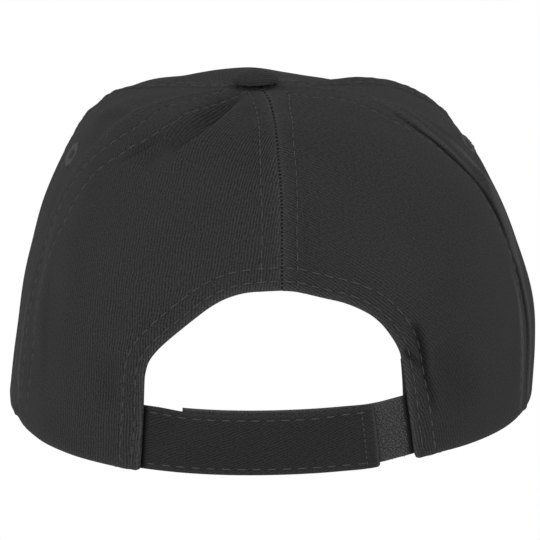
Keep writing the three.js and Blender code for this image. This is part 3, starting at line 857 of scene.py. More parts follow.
def cloth_panel(panel, turn, share, material, rib_centre=None):
    """A panel's cloth. With a rib centre its ribs bend round that place of the flat cloth."""
    outer_lift, inner_lift, edge, pressed, painted_light_and_wear = cloth_lift(panel, turn, share)
    points = crown_point(turn, share)
    normal = crown_normal(turn, share)
    uv = flat_cloth(turn, share, float(np.mean(turn[0])))
    if rib_centre:
        away = uv - np.array(rib_centre)
        reach = np.linalg.norm(away, axis=-1)
        uv = np.stack([reach, np.arctan2(away[..., 1], away[..., 0]) * reach.mean()], axis=-1)
    piece = closed_sheet(f"{panel}_cloth", points + normal * outer_lift[..., None],
                         points + normal * (inner_lift - CLOTH)[..., None], uv,
                         np.exp(-edge / WORN_REACH),
                         np.exp(-pressed / PRESSED_REACH.get(panel.split("_")[-1], 1)), painted_light_and_wear)
    return finish_piece(piece, material, "cloth", panel)


def overlap_turn(share):
    """Degrees by which a panel passes under its neighbour at a seam."""
    return SEAM_OVERLAP / np.maximum(length_of_turn(share), 0.05)


def back_panel(side, material, rib_centre=None):
    panel = f"back_panel_{side}"
    seam = f"back_{side}"
    edge_curve = CURVES[f"edge_{side}"]
    column = columns_along(edge_curve, FULL)[::-1 if side == "left" else 1]
    up = spread(UP_RUN * CROWN_HEIGHT * 0.75, True, False, CREASE_STEP)[:, None]
    edge_turn, edge_share = rounded_lower_edge(side, column)
    centre = seam_turn("centre", edge_share)
    far = seam_turn(seam, edge_share)
    start = np.clip((edge_turn - centre) / (far - centre), 0, 1)
    share = mix(edge_share, APEX_SHARE, up)
    across = mix(start, column, up)
    sign = 1 if side == "left" else -1
    lap = overlap_turn(share) * sign
    turn = mix(seam_turn("centre", share) - lap, seam_turn(seam, share) + lap, across)
    return cloth_panel(panel, turn, share, material, rib_centre)


def seamed_panel(panel, start_seam, end_seam, material, whole_turn=0):
    """A panel between two seams, from the rim to the button, start_seam at the larger turn."""
    lower = CURVES[PANEL_EDGES[panel][1]]
    width = np.linalg.norm(np.diff(lower, axis=0), axis=1).sum()
    across = spread(width, True, True)
    share = spread(UP_RUN * CROWN_HEIGHT, True, False)[:, None] * APEX_SHARE
    lap = overlap_turn(share)
    start = seam_turn(start_seam, share) + whole_turn + lap
    end = seam_turn(end_seam, share) - lap
    turn, share = np.broadcast_arrays(mix(start, end, across), share)
    return cloth_panel(panel, turn, share, material)


def hem_shadow(side, turn, share):
    """The painted shadow on a strap close beside the hem that it comes out from under: how much
    darker the strap is painted there.
    """
    hem_turn, hem_share = PLACES[f"hem_{side}"]
    order = np.argsort(hem_share)
    hem = np.interp(share, hem_share[order], hem_turn[order])
    beside = np.abs(turn - hem) * length_of_turn(share)
    return -HEM_SHADOW * np.exp(-(beside / HEM_SHADOW_WIDTH[side])**2)


def layer_sheet(name, turn, share, depth, thickness, material, slot, node, edge, middle_turn=0,
                painted_light_and_wear=None):
    """A strap or band: a sheet of even thickness with rounded edges, under the panels. The
    depth is that of its outer face, edge is how far each place is from the sheet's edge, and
    the last input is the painted shadow and paler wear on its cloth."""
    half = thickness / 2
    round_half = half_at_edge(edge, half, 0.25)
    points = crown_point(turn, share)
    normal = crown_normal(turn, share)
    middle = points - normal * (depth + half)[..., None]
    uv = flat_cloth(turn, share, middle_turn)
    piece = closed_sheet(name, middle + normal * round_half[..., None],
                         middle - normal * round_half[..., None], uv,
                         np.exp(-edge / LAYER_WORN_REACH), painted_light_and_wear=painted_light_and_wear)
    return finish_piece(piece, material, slot, *node)


def strap_grid(start, end, width):
    """A strap's length, and places along it and up it, from 0 to 1."""
    length = abs(end - start) * STRAP_TURN_LENGTH
    return length, spread(length, True, True), spread(width, True, True)[:, None]


def strap_sag(turn):
    """How far the outer strap's top edge hangs below the inner strap's."""
    from_end = (turn - OUTER_STRAP_END) * STRAP_TURN_LENGTH
    from_hem = (OPENING["left_turn"][-1] - turn) * STRAP_TURN_LENGTH
    return STRAP_SAG * ramp(from_end, *STRAP_SAG_FROM_END) * ramp(from_hem, *STRAP_SAG_FROM_HEM)


def outer_strap(material):
    start = HEM_TURN["left"] + turn_of_length(STRAP_TAIL)
    length, along, up = strap_grid(start, OUTER_STRAP_END, STRAP_WIDTH)
    from_end = (1 - along) * length
    pull = np.clip(1 - from_end / STRAP_CORNER, 0, 1)
    inset = STRAP_CORNER * (1 - np.sqrt(1 - pull**2))
    turn = mix(start, OUTER_STRAP_END - STRAP_SLANT * (1 - up), along)
    height = STRAP_LIFT + mix(inset, STRAP_WIDTH - inset - strap_sag(turn), up)
    turn = np.broadcast_to(turn, height.shape)
    share = share_at_height(turn, height)
    side_edge = np.minimum(up, 1 - up) * STRAP_WIDTH
    lift = -STRAP_ROW_DIP * (bell(side_edge, STRAP_ROW, ROW_DIP_WIDTH)
                             + bell(from_end, STRAP_END_ROW, ROW_DIP_WIDTH))
    # The strap is painted with a shadow beside the left hem, and has a paler, worn line along
    # its end.
    return layer_sheet("strap_outer_cloth", turn, share, FIRST_DEPTH - lift, STRAP_THICKNESS,
                       material, "strap_cloth", ["strap_outer"],
                       np.minimum(side_edge, from_end),
                       painted_light_and_wear=(hem_shadow("left", turn, share)
                              + STRAP_END_FADE * bell(from_end, *STRAP_END_PALE)))


def inner_strap_depth(turn):
    """The inner strap lies under the right hem and dives behind the outer strap."""
    dive_start = OPENING["right_turn"][-1] - turn_of_length(BAND_RIGHT_INSET - GAP)
    dive_end = OUTER_STRAP_END - turn_of_length(GAP + STRAP_THICKNESS)
    behind = np.clip((turn - dive_start) / (dive_end - dive_start), 0, 1)
    return mix(FIRST_DEPTH, SECOND_DEPTH, behind)


def inner_strap(material):
    end = HEM_TURN["right"] - turn_of_length(STRAP_TAIL)
    length, along, up = strap_grid(INNER_STRAP_END, end, INNER_STRAP_WIDTH)
    height = INNER_STRAP_LIFT + up * INNER_STRAP_WIDTH + 0 * along
    turn = np.broadcast_to(mix(INNER_STRAP_END, end, along), height.shape)
    share = share_at_height(turn, height)
    edge = np.minimum(np.minimum(up, 1 - up) * INNER_STRAP_WIDTH, along * length)
    # The strap is painted with a shadow beside the right hem.
    return layer_sheet("strap_inner_tape", turn, share, inner_strap_depth(turn),
                       STRAP_THICKNESS, material, "loop_pile", ["strap_inner"], edge,
                       painted_light_and_wear=hem_shadow("right", turn, share))


def sweatband(material):
    ease = turn_of_length(STRAP_EASE)
    left_tail = HEM_TURN["left"] + turn_of_length(STRAP_TAIL + GAP)
    right_tail = 360 + HEM_TURN["right"] - turn_of_length(STRAP_TAIL + GAP)
    left_end = OPENING["left_turn"][-1] + turn_of_length(BAND_LEFT_INSET)
    right_end = 360 + OPENING["right_turn"][-1] - turn_of_length(BAND_RIGHT_INSET)
    along = np.linspace(1, 0, 420)
    turn = mix(left_end, right_end, along)
    to_left = np.clip((left_tail + ease - turn) / ease, 0, 1)
    to_right = np.clip((turn - right_tail + ease) / ease, 0, 1)
    depth = mix(CLOTH + BAND_CLEARANCE, SECOND_DEPTH, np.maximum(to_left, to_right))
    up = spread(BAND_HEIGHT, True, True)[:, None]
    height = mix(BAND_LIFT, BAND_HEIGHT, up) + 0 * along
    turn, depth = np.broadcast_arrays(turn, depth, height)[:2]
    share = share_at_height(turn, height)
    length = (right_end - left_end) * float(length_of_turn(np.array(0.0)))
    edge = np.minimum(np.minimum(up, 1 - up) * BAND_HEIGHT,
                      np.minimum(along, 1 - along) * length)
    return layer_sheet("sweatband_cloth", turn, share, depth, BAND_THICKNESS, material,
                       "sweatband_cloth", ["sweatband"], edge, 180)


def peak_place(swing, out):
    """A point of the peak's upper face: swing from -1 at one end to 1 at the other, out from 0
    at the crown to 1 at the outer edge. Also the length from the crown to the edge there."""
    corner = crown_point(180 - PEAK_SPAN, 0.0)
    reach = CROWN_FRONT + PEAK_LENGTH - abs(corner[1]) - PEAK_END
    turn = 180 + swing * PEAK_SPAN
    root = crown_layer(turn, np.zeros_like(turn), np.full(turn.shape, CLOTH))
    root_top = crown_point(turn, np.zeros_like(turn))[..., 2]
    angle = np.radians(swing * 90)
    fill = 1 + PEAK_FILL * np.sin(2 * angle)**2
    edge_x = -fill * corner[0] * np.sin(angle)
    edge_y = corner[1] - PEAK_END - fill * reach * np.cos(angle)
    length = np.hypot(edge_x - root[..., 0], edge_y - root[..., 1])
    fall = mix(PEAK_FALL_FRONT, PEAK_FALL_SIDE, np.sin(angle)**2) * length * out
    return np.stack([mix(root[..., 0], edge_x, out), mix(root[..., 1], edge_y, out),
                     root_top - fall], axis=-1), length


def peak(material):
    swing = spread(PEAK_ARC, True, True)[::-1] * 2 - 1
    out = spread(PEAK_LENGTH, False, True)[:, None]
    swing, out = np.broadcast_arrays(swing, out)
    top, length = peak_place(swing, out)
    end_length = (1 - np.abs(swing)) * PEAK_ARC / 2
    edge = np.minimum((1 - out) * length, end_length)
    half = PEAK_THICKNESS / 2
    round_half = half_at_edge(edge, half, 0.2)
    dips = sum(bell((1 - out) * length, row, ROW_DIP_WIDTH) for row in PEAK_ROWS)
    dips = dips * ramp(length * out, *PEAK_DIPS_START)
    middle = top - np.array([0, 0, half])
    drop = np.array([0, 0, 1.0])
    uv = top[..., :2]
    outer = middle + drop * (round_half - ROW_DIP * dips)[..., None]
    inner = middle - drop * (round_half - ROW_DIP * dips)[..., None]
    piece = closed_sheet("peak_cloth", outer, inner, uv, np.exp(-edge / WORN_REACH))
    return finish_piece(piece, material, "cloth", "peak")


def button_dome(material):
    """The covered dome, a little flattened, with the cloth gathered under its edge."""
    bpy.ops.mesh.primitive_uv_sphere_add(segments=96, ring_count=48, radius=1)
    piece = made_piece("button_dome")
    count = len(piece.data.vertices)
    flat = np.zeros(count * 3, np.float32)
    piece.data.vertices.foreach_get("co", flat)
    ball = flat.reshape(-1, 3).astype(float)
    around = np.arctan2(ball[:, 1], ball[:, 0])
    level = ball[:, 2]
    reach = np.sqrt(np.clip(1 - np.abs(level)**BUTTON_FLATNESS, 0, 1))
    gathers = sum(size * np.sin(folds * around + start) * bell(level, middle, width)
                  for size, folds, start, middle, width in BUTTON_GATHERS)
    radius = BUTTON_RADIUS * reach + gathers * reach
    height = np.where(level > 0, BUTTON_RISE - BUTTON_UNDER, BUTTON_UNDER) * level
    points = np.stack([BUTTON_LEAN + BUTTON_ASIDE + radius * np.cos(around),
                       radius * np.sin(around),
                       CROWN_HEIGHT + BUTTON_SEAT + BUTTON_LIFTED + BUTTON_UNDER + height],
                      axis=-1)
    set_points(piece.data, points)
    set_uv(piece.data, np.stack([points[:, 0], points[:, 2] - BUTTON_WEAVE_TURN * points[:, 1]],
                                axis=-1))
    set_attribute(piece.data, "worn", np.zeros(count))
    set_attribute(piece.data, "pressed", np.ones(count))
    piece.data.update()
    bpy.ops.object.shade_smooth()
    return finish_piece(piece, material, "button_cloth", "button")


def button_rivet(material):
    """The stem and the washer that hold the button, seen only from inside the crown."""
    parts = []
    top = CROWN_HEIGHT - CLOTH - WASHER_DROP
    spans = ((STEM_RADIUS, top - 0.2, CROWN_HEIGHT + BUTTON_SEAT + 0.6),
             (WASHER_RADIUS, top - WASHER_THICKNESS, top))
    for radius, low, high in spans:
        centre = placed(np.array([BUTTON_LEAN, 0, (low + high) / 2]))
        bpy.ops.mesh.primitive_cylinder_add(vertices=48, radius=radius * MM,
                                            depth=(high - low) * MM, location=centre)
        part = bpy.context.object
        bpy.ops.object.transform_apply(location=True, rotation=True, scale=True)
        rim = part.modifiers.new("rim", "BEVEL")
        rim.width = RIVET_ROUND * MM
        rim.segments = 3
        bpy.ops.object.modifier_apply(modifier=rim.name)
        parts.append(part)
    bpy.ops.object.select_all(action="DESELECT")
    for part in parts:
        part.select_set(True)
    bpy.context.view_layer.objects.active = parts[0]
    bpy.ops.object.join()
    piece = made_piece("button_rivet")
    bpy.ops.object.shade_smooth_by_angle(angle=math.radians(RIVET_SMOOTH))
    return finish_piece(piece, material, "button_cloth")


def thread_form():
    """One stitch, a short fat thread along X with its ends turned down: its points, with
    length and width 1, and its faces."""
    bpy.ops.mesh.primitive_uv_sphere_add(segments=6, ring_count=6, radius=0.5)
    form = bpy.context.object
    points = np.array([v.co for v in form.data.vertices], float)
    faces = [tuple(p.vertices) for p in form.data.polygons]
    bpy.data.objects.remove(form)
    along = points[:, 2]
    fat = np.sqrt(np.clip(1 - (2 * np.abs(along))**4, 0, 1))
    around = unit(points[:, :2] + 1e-9) * 0.5
    body = np.stack([along, around[:, 0] * fat, around[:, 1] * fat], axis=-1)
    return body, faces


THREAD_POINTS, THREAD_FACES = thread_form()


def threads(name, centres, alongs, outs, length, width, material, sink=0.0):
    """Many stitches as one piece. Each has a centre, the direction it runs and the direction
    out of the cloth, and its ends sink into the cloth."""
    alongs = unit(alongs)
    outs = unit(outs - alongs * (outs * alongs).sum(-1, keepdims=True))
    sides = np.cross(outs, alongs)
    form = THREAD_POINTS
    x = form[:, 0][None, :, None] * np.broadcast_to(length, len(centres))[:, None, None]
    y = form[:, 1][None, :, None] * width
    z = form[:, 2][None, :, None] * width - sink * (2 * form[:, 0][None, :, None])**2
    points = (centres[:, None] + x * alongs[:, None] + y * sides[:, None] + z * outs[:, None])
    count = len(form)
    faces = [tuple(corner + count * i for corner in face)
             for i in range(len(centres)) for face in THREAD_FACES]
    mesh = bpy.data.meshes.new(name)
    mesh.from_pydata(placed(points).reshape(-1, 3).tolist(), [], faces)
    mesh.update()
    piece = bpy.data.objects.new(name, mesh)
    bpy.context.scene.collection.objects.link(piece)
    select_only(piece)
    bpy.ops.object.shade_smooth()
    return finish_piece(piece, material, "thread")


def offset_row(places, offset):
    """A row at a distance from a curve, to larger turns of a curve that runs up."""
    turn, share = places
    step = 1e-3
    side = np.linalg.norm(crown_point(turn + 0.5, share) - crown_point(turn - 0.5, share),
                          axis=-1)
    low = np.minimum(share, 1 - 2 * step)
    up = np.linalg.norm(crown_point(turn, low + step) - crown_point(turn, low), axis=-1) / step
    run_x = np.gradient(turn) * side
    run_y = np.gradient(share) * up
    length = np.maximum(np.hypot(run_x, run_y), 1e-9)
    new_turn = turn + offset * run_y / length / np.maximum(side, 0.02)
    new_share = share - offset * run_x / length / up
    return new_turn, new_share


def even_places(places, pitch):
    """Places at an even pitch along a row of places."""
    turn, share = places
    length = run_length(crown_point(turn, share))
    at = np.arange(pitch / 2, length[-1], pitch)
    return np.interp(at, length, turn), np.interp(at, length, share)


def sewn_row(panel, places):
    """Centres, runs and outward directions of the stitches of a row on a panel."""
    keep = (places[1] > 0.004) & (places[1] < APEX_SHARE)
    turn, share = even_places((places[0][keep], places[1][keep]), STITCH_PITCH)
    lift = cloth_lift(panel, turn, share)[0]
    normal = crown_normal(turn, share)
    centres = crown_point(turn, share) + normal * (lift + THREAD_WIDTH * THREAD_RISE)[:, None]
    return centres, np.gradient(centres, axis=0), normal


def seam_ladder(seam, panel):
    """The thread that shows across a seam where the cloth pulls it open."""
    places = PLACES[seam]
    points = crown_point(*places)
    steps = np.abs(np.diff(points, axis=0))
    climb = steps[:, 2] + LADDER_SPREAD * np.hypot(steps[:, 0], steps[:, 1])
    run = np.concatenate([[0], np.cumsum(climb)])
    at = np.arange(LADDER_PITCH / 2, run[-1], LADDER_PITCH)
    turn, share = np.interp(at, run, places[0]), np.interp(at, run, places[1])
    normal = crown_normal(turn, share)
    beside = turn + LADDER_BESIDE / np.maximum(length_of_turn(share), 0.1)
    lift = cloth_lift(panel, beside, share)[0]
    centres = crown_point(turn, share) + normal * (lift - LADDER_SINK)[:, None]
    run = np.gradient(centres, axis=0)
    return centres, np.cross(normal, run), normal


def panel_rows(panel):
    """All rows of stitches of one panel: those of its table, and those beside its edges."""
    found = [sewn_row(panel, path) for row_panel, path in ROW_PATHS if row_panel == panel]
    seams, lower, lower_finish = PANEL_EDGES[panel]
    for seam in seams:
        inward = -1 if (panel, seam) in LARGER_SEAMS else 1
        for row in EDGES[panel, seam]["rows"]:
            found.append(sewn_row(panel, offset_row(PLACES[seam], inward * row)))
    for row in lower_finish["rows"]:
        inward = -1 if panel == "back_panel_left" else 1
        found.append(sewn_row(panel, offset_row(PLACES[lower], inward * row)))
    return found


def joined_rows(rows):
    return [np.concatenate([row[i] for row in rows]) for i in range(3)]


def strap_row(turn, heights, depth):
    """Centres, runs and outward directions of stitches at turns and heights of a strap."""
    share = share_at_height(turn, heights)
    normal = crown_normal(turn, share)
    centres = crown_point(turn, share) - normal * (depth - THREAD_WIDTH * 0.1)
    return centres, np.gradient(centres, axis=0), normal


def strap_rows():
    """The rows round the free strap: along its two edges and across its end."""
    depth = FIRST_DEPTH + STRAP_ROW_DIP
    start = HEM_TURN["left"] + turn_of_length(2)
    end = OUTER_STRAP_END + turn_of_length(STRAP_END_ROW)
    count = int((start - end) * STRAP_TURN_LENGTH / STITCH_PITCH)
    turns = np.linspace(start, end, count)
    low = np.full(count, STRAP_LIFT + STRAP_ROW)
    high = STRAP_LIFT + STRAP_WIDTH - STRAP_ROW - strap_sag(turns)
    heights = np.arange(STRAP_ROW, STRAP_WIDTH - STRAP_ROW, STRAP_END_PITCH)
    slanted = end - STRAP_SLANT * (1 - heights / STRAP_WIDTH)
    rows = joined_rows([strap_row(turns, low, depth), strap_row(turns, high, depth),
                        strap_row(slanted, STRAP_LIFT + heights, depth)])
    lengths = np.concatenate([np.full(2 * count, STITCH_LENGTH),
                              np.full(len(heights), STRAP_END_STITCH)])
    return *rows, lengths


def peak_rows():
    """The rows that follow the peak's outer edge, on both faces."""
    found = []
    for row in PEAK_ROWS:
        swing = np.linspace(-PEAK_ROW_END, PEAK_ROW_END, 700)
        _, length = peak_place(swing, np.ones_like(swing))
        out = 1 - row / np.maximum(length, 1e-6)
        keep = out * length > PEAK_ROW_ROOT
        swing, out = swing[keep], out[keep]
        if len(swing) < 20:
            continue
        top, _ = peak_place(swing, out)
        run = run_length(top)
        at = np.arange(1, run[-1], STITCH_PITCH)
        centres = np.stack([np.interp(at, run, top[:, i]) for i in range(3)], axis=-1)
        up = np.tile([0.0, 0, 1], (len(centres), 1))
        lift = THREAD_WIDTH * THREAD_RISE - ROW_DIP
        found.append((centres + up * lift, np.gradient(centres, axis=0), up))
        below = centres - up * (PEAK_THICKNESS + lift)
        found.append((below, np.gradient(centres, axis=0), -up))
    return found


def eyelet(name, panel, place, material):
    """A stitched ring's threads, from its hole to its rim, and where the ring sits."""
    turn_at, share_at = (np.array(float(value)) for value in place)
    centre = crown_point(turn_at, share_at)
    lift = float(cloth_lift(panel, turn_at[None], share_at[None])[0][0])
    normal = unit(crown_normal(turn_at, share_at) + np.array([0, EYELET_TILT, 0]))
    x_axis = unit(np.cross([0.0, 0, 1], normal))
    y_axis = np.cross(normal, x_axis)
    random = np.random.default_rng(SEED + len(name))
    count = EYELET_THREADS
    angle = np.linspace(0, 2 * math.pi, count, endpoint=False)
    angle = angle + random.uniform(*EYELET_TURN_JITTER, count)
    radial = np.cos(angle)[:, None] * x_axis + np.sin(angle)[:, None] * y_axis
    inner = EYELET_HOLE + random.uniform(*EYELET_HOLE_JITTER, count)
    outer = EYELET_RADIUS + random.uniform(*EYELET_RIM_JITTER, count)
    middle = (inner + outer) / 2
    centres = (centre + normal * (lift + EYELET_LIFT)) + radial * middle[:, None]
    leans = random.uniform(*EYELET_LEAN_JITTER, count)[:, None]
    threads(name, centres, radial + normal * leans,
            np.tile(normal, (count, 1)), outer - inner, EYELET_THREAD, material, EYELET_SINK)
    return centre + normal * (lift + EYELET_LIFT - 0.3), normal, x_axis, y_axis


def eyelet_bed(name, seat, material, *nodes):
    """The dark bed under an eyelet's stitches, with its hole going in."""
    middle, normal, x_axis, y_axis = seat
    profile = ((EYELET_HOLE * 0.9, -CLOTH), (EYELET_HOLE, -0.2), (EYELET_HOLE + 0.5, 0.12),
               (EYELET_RADIUS * 0.85, 0.1), (EYELET_RADIUS * 0.94, -0.3),
               (EYELET_RADIUS * 0.9, -CLOTH))
    bpy.ops.mesh.primitive_torus_add(major_segments=EYELET_STEPS, minor_segments=len(profile),
                                     major_radius=1, minor_radius=0.1)
    piece = made_piece(name)
    angle = np.repeat(np.linspace(0, 2 * math.pi, EYELET_STEPS, endpoint=False), len(profile))
    radius = np.tile([p[0] for p in profile], EYELET_STEPS)
    height = np.tile([p[1] for p in profile], EYELET_STEPS)
    points = (middle + (radius * np.cos(angle))[:, None] * x_axis
              + (radius * np.sin(angle))[:, None] * y_axis + height[:, None] * normal)
    set_points(piece.data, points)
    piece.data.update()
    bpy.ops.object.mode_set(mode="EDIT")
    bpy.ops.mesh.select_all(action="SELECT")
    bpy.ops.mesh.normals_make_consistent(inside=False)
    bpy.ops.object.mode_set(mode="OBJECT")
    bpy.ops.object.shade_smooth()
    return finish_piece(piece, material, "thread", *nodes)


def pile_loops(material):
    """The small loops that stand on the inner strap where the outer one leaves it bare."""
    random = np.random.default_rng(SEED + 40)
    start = OUTER_STRAP_END + 2.5
    end = HEM_TURN["right"] - 1
    turns, heights = np.meshgrid(
        np.arange(start, end, -PILE_PITCH / STRAP_TURN_LENGTH),
        np.arange(0.6, INNER_STRAP_WIDTH - 0.4, PILE_PITCH))
    turns = (turns + random.uniform(-0.25, 0.25, turns.shape)).ravel()
    heights = (heights + random.uniform(-0.3, 0.3, heights.shape)).ravel()
    share = share_at_height(turns, INNER_STRAP_LIFT + heights)
    # No loops stand in the darkest of the painted shadow beside the right hem.
    lit = hem_shadow("right", turns, share) > PILE_DARKEST
    turns, share = turns[lit], share[lit]
    normal = crown_normal(turns, share)
    centres = crown_point(turns, share) - normal * (inner_strap_depth(turns) - 0.1)[:, None]
    run = unit(random.normal(size=centres.shape))
    run = run - normal * (run * normal).sum(-1, keepdims=True)
    return threads("loop_pile", centres, run, normal, PILE_LENGTH, PILE_WIDTH, material,
                   PILE_SINK)


def math_node(tree, operation, *values):
    """A Math node. Each value is a number or another node's output."""
    node = tree.nodes.new("ShaderNodeMath")
    node.operation = operation
    for socket, value in zip(node.inputs, values):
        if isinstance(value, (int, float)):
            socket.default_value = value
        else:
            tree.links.new(value, socket)
    return node.outputs[0]


def noise_node(tree, place, scale, detail=2.0):
    node = tree.nodes.new("ShaderNodeTexNoise")
    node.inputs["Scale"].default_value = scale
    node.inputs["Detail"].default_value = detail
    tree.links.new(place, node.inputs["Vector"])
    return node.outputs["Fac"]


def attribute_node(tree, label):
    node = tree.nodes.new("ShaderNodeAttribute")
    node.attribute_name = label
    return node.outputs["Fac"]


def new_material(name):
    material = bpy.data.materials.new(name)
    material.use_nodes = True
    return material, material.node_tree


def colour_between(tree, low, high, factor):
    """The shader's colour, a grey between two tones."""
    colour = tree.nodes.new("ShaderNodeMix")
    colour.data_type = "RGBA"
    colour.inputs["A"].default_value = grey(low)
    colour.inputs["B"].default_value = grey(high)
    tree.links.new(factor, colour.inputs["Factor"])
    tree.links.new(colour.outputs["Result"],
                   tree.nodes["Principled BSDF"].inputs["Base Color"])


def bump_from(tree, height, distance):
    """The shader's relief, from a height whose range stands for a distance in millimetres."""
    bump = tree.nodes.new("ShaderNodeBump")
    bump.inputs["Strength"].default_value = 1.0
    bump.inputs["Distance"].default_value = distance * MM
    tree.links.new(height, bump.inputs["Height"])
    tree.links.new(bump.outputs["Normal"], tree.nodes["Principled BSDF"].inputs["Normal"])


def set_shader(tree, **values):
    """Plain values of the shader, by the names of its inputs."""
    for name, value in values.items():
        tree.nodes["Principled BSDF"].inputs[name.replace("_", " ")].default_value = value


def seen_white(tree):
    """The strength of what surrounds the cap: white to the camera, less as light."""
    seen = tree.nodes.new("ShaderNodeLightPath")
    strength = tree.nodes.new("ShaderNodeMix")
    strength.inputs["A"].default_value = ROOM_LIGHT
    strength.inputs["B"].default_value = 1.0
    tree.links.new(seen.outputs["Is Camera Ray"], strength.inputs["Factor"])
    return strength.outputs["Result"]


def new_group(name, inputs, outputs):
    """A node group with named inputs, each with its starting value, and named outputs."""
    group = bpy.data.node_groups.new(name, "ShaderNodeTree")
    group.interface.new_socket("Place", in_out="INPUT", socket_type="NodeSocketVector")
    for socket, value in inputs.items():
        made = group.interface.new_socket(socket, in_out="INPUT", socket_type="NodeSocketFloat")
        made.default_value = value
    for socket in outputs:
        group.interface.new_socket(socket, in_out="OUTPUT", socket_type="NodeSocketFloat")
    return group, group.nodes.new("NodeGroupInput"), group.nodes.new("NodeGroupOutput")


def twill_group():
    """The slanting ribs of twill on flat cloth in millimetres, a height and a shade."""
    group, given, out = new_group(
        "twill weave", {"Rib Angle": 1.2, "Rib Pitch": 1.0, "Wander": 0.5}, ["Height", "Shade"])
    turn = group.nodes.new("ShaderNodeVectorRotate")
    turn.rotation_type = "Z_AXIS"
    group.links.new(given.outputs["Place"], turn.inputs["Vector"])
    group.links.new(given.outputs["Rib Angle"], turn.inputs["Angle"])
    split = group.nodes.new("ShaderNodeSeparateXYZ")
    group.links.new(turn.outputs[0], split.inputs[0])
    drift = math_node(group, "SUBTRACT", noise_node(group, given.outputs["Place"], 0.12, 3), 0.5)
    drift = math_node(group, "MULTIPLY", drift, given.outputs["Wander"])
    drift = math_node(group, "MULTIPLY", drift, 4.0)
    across = math_node(group, "ADD", split.outputs["X"], drift)
    phase = math_node(group, "DIVIDE", across, given.outputs["Rib Pitch"])
    rib = math_node(group, "SINE", math_node(group, "MULTIPLY", phase, 2 * math.pi))
    run = math_node(group, "DIVIDE", split.outputs["Y"], given.outputs["Rib Pitch"])
    thread = math_node(group, "SINE", math_node(group, "MULTIPLY", run, 3.4 * math.pi))
    thread = math_node(group, "MULTIPLY", thread, 0.3)
    height = math_node(group, "ADD", rib, thread)
    height = math_node(group, "MULTIPLY_ADD", height, 0.38, 0.5)
    slub = math_node(group, "SUBTRACT", noise_node(group, given.outputs["Place"], 0.9, 4), 0.5)
    shade = math_node(group, "MULTIPLY_ADD", slub, 0.5, 0.75)
    shade = math_node(group, "MULTIPLY_ADD", height, 0.5, shade)
    group.links.new(height, out.inputs["Height"])
    group.links.new(shade, out.inputs["Shade"])
    return group


def fuzz_group():
    """The short hairs and lint on worn cloth: fine specks and a slow unevenness."""
    group, given, out = new_group("cloth fuzz", {"Speck Size": 1.6}, ["Speck", "Patch"])
    fine = group.nodes.new("ShaderNodeTexNoise")
    fine.inputs["Detail"].default_value = 4
    group.links.new(given.outputs["Place"], fine.inputs["Vector"])
    group.links.new(given.outputs["Speck Size"], fine.inputs["Scale"])
    group.links.new(fine.outputs["Fac"], out.inputs["Speck"])
    group.links.new(noise_node(group, given.outputs["Place"], 0.035, 2), out.inputs["Patch"])
    return group


TWILL = twill_group()
FUZZ = fuzz_group()


def place_group(tree, group, place, **values):
    node = tree.nodes.new("ShaderNodeGroup")
    node.node_tree = group
    tree.links.new(place, node.inputs["Place"])
    for name, value in values.items():
        node.inputs[name.replace("_", " ").title()].default_value = value
    return node


def grey(value):
    return (value, value, value, 1)


LOOSE_RIBS = 0.15
RIB_CENTRE = (90, -40)


def cloth_material(name, tone, rib_angle, rib_pitch=1.0, rib_depth=0.14, contrast=0.9,
                   worn_tone=2.2, sheen=0.02, rough=0.95, specular=0.06):
    """Dyed twill: a tone, slanting ribs, specks, paler threads along its edges, and the painted
    shade, painted highlight and wear that its mesh carries.
    """
    material, tree = new_material(name)
    place = tree.nodes.new("ShaderNodeTexCoord").outputs["UV"]
    weave = place_group(tree, TWILL, place, rib_angle=math.radians(rib_angle),
                        rib_pitch=rib_pitch, wander=0.5)
    fuzz = place_group(tree, FUZZ, place, speck_size=1.6)
    ribs = math_node(tree, "MULTIPLY_ADD", attribute_node(tree, "pressed"), 1 - LOOSE_RIBS,
                     LOOSE_RIBS)
    shade = math_node(tree, "SUBTRACT", weave.outputs["Shade"], 1.0)
    shade = math_node(tree, "MULTIPLY", shade, ribs)
    shade = math_node(tree, "MULTIPLY_ADD", shade, contrast, 1.0)
    speck = math_node(tree, "SUBTRACT", fuzz.outputs["Speck"], 0.5)
    shade = math_node(tree, "MULTIPLY_ADD", speck, 1.5, shade)
    patch = math_node(tree, "SUBTRACT", fuzz.outputs["Patch"], 0.5)
    shade = math_node(tree, "MULTIPLY_ADD", patch, 0.25, shade)
    edge = math_node(tree, "MULTIPLY", attribute_node(tree, "worn"), fuzz.outputs["Speck"])
    shade = math_node(tree, "MULTIPLY_ADD", edge, worn_tone - 1, shade)
    # Painted shade and painted highlight from the mesh darken or lighten the cloth, with the
    # paler wear of a strap's end.
    painted_light_and_wear = math_node(tree, "ADD", 1.0, attribute_node(tree, "painted_light_and_wear"))
    shade = math_node(tree, "MULTIPLY", shade, painted_light_and_wear)
    colour_between(tree, 0, 2 * tone, math_node(tree, "MULTIPLY", shade, 0.5))
    bump_from(tree, math_node(tree, "MULTIPLY_ADD", fuzz.outputs["Speck"], 0.6,
                              weave.outputs["Height"]), rib_depth)
    set_shader(tree, Roughness=rough, Specular_IOR_Level=specular, Sheen_Weight=sheen,
               Sheen_Roughness=0.45)
    return material


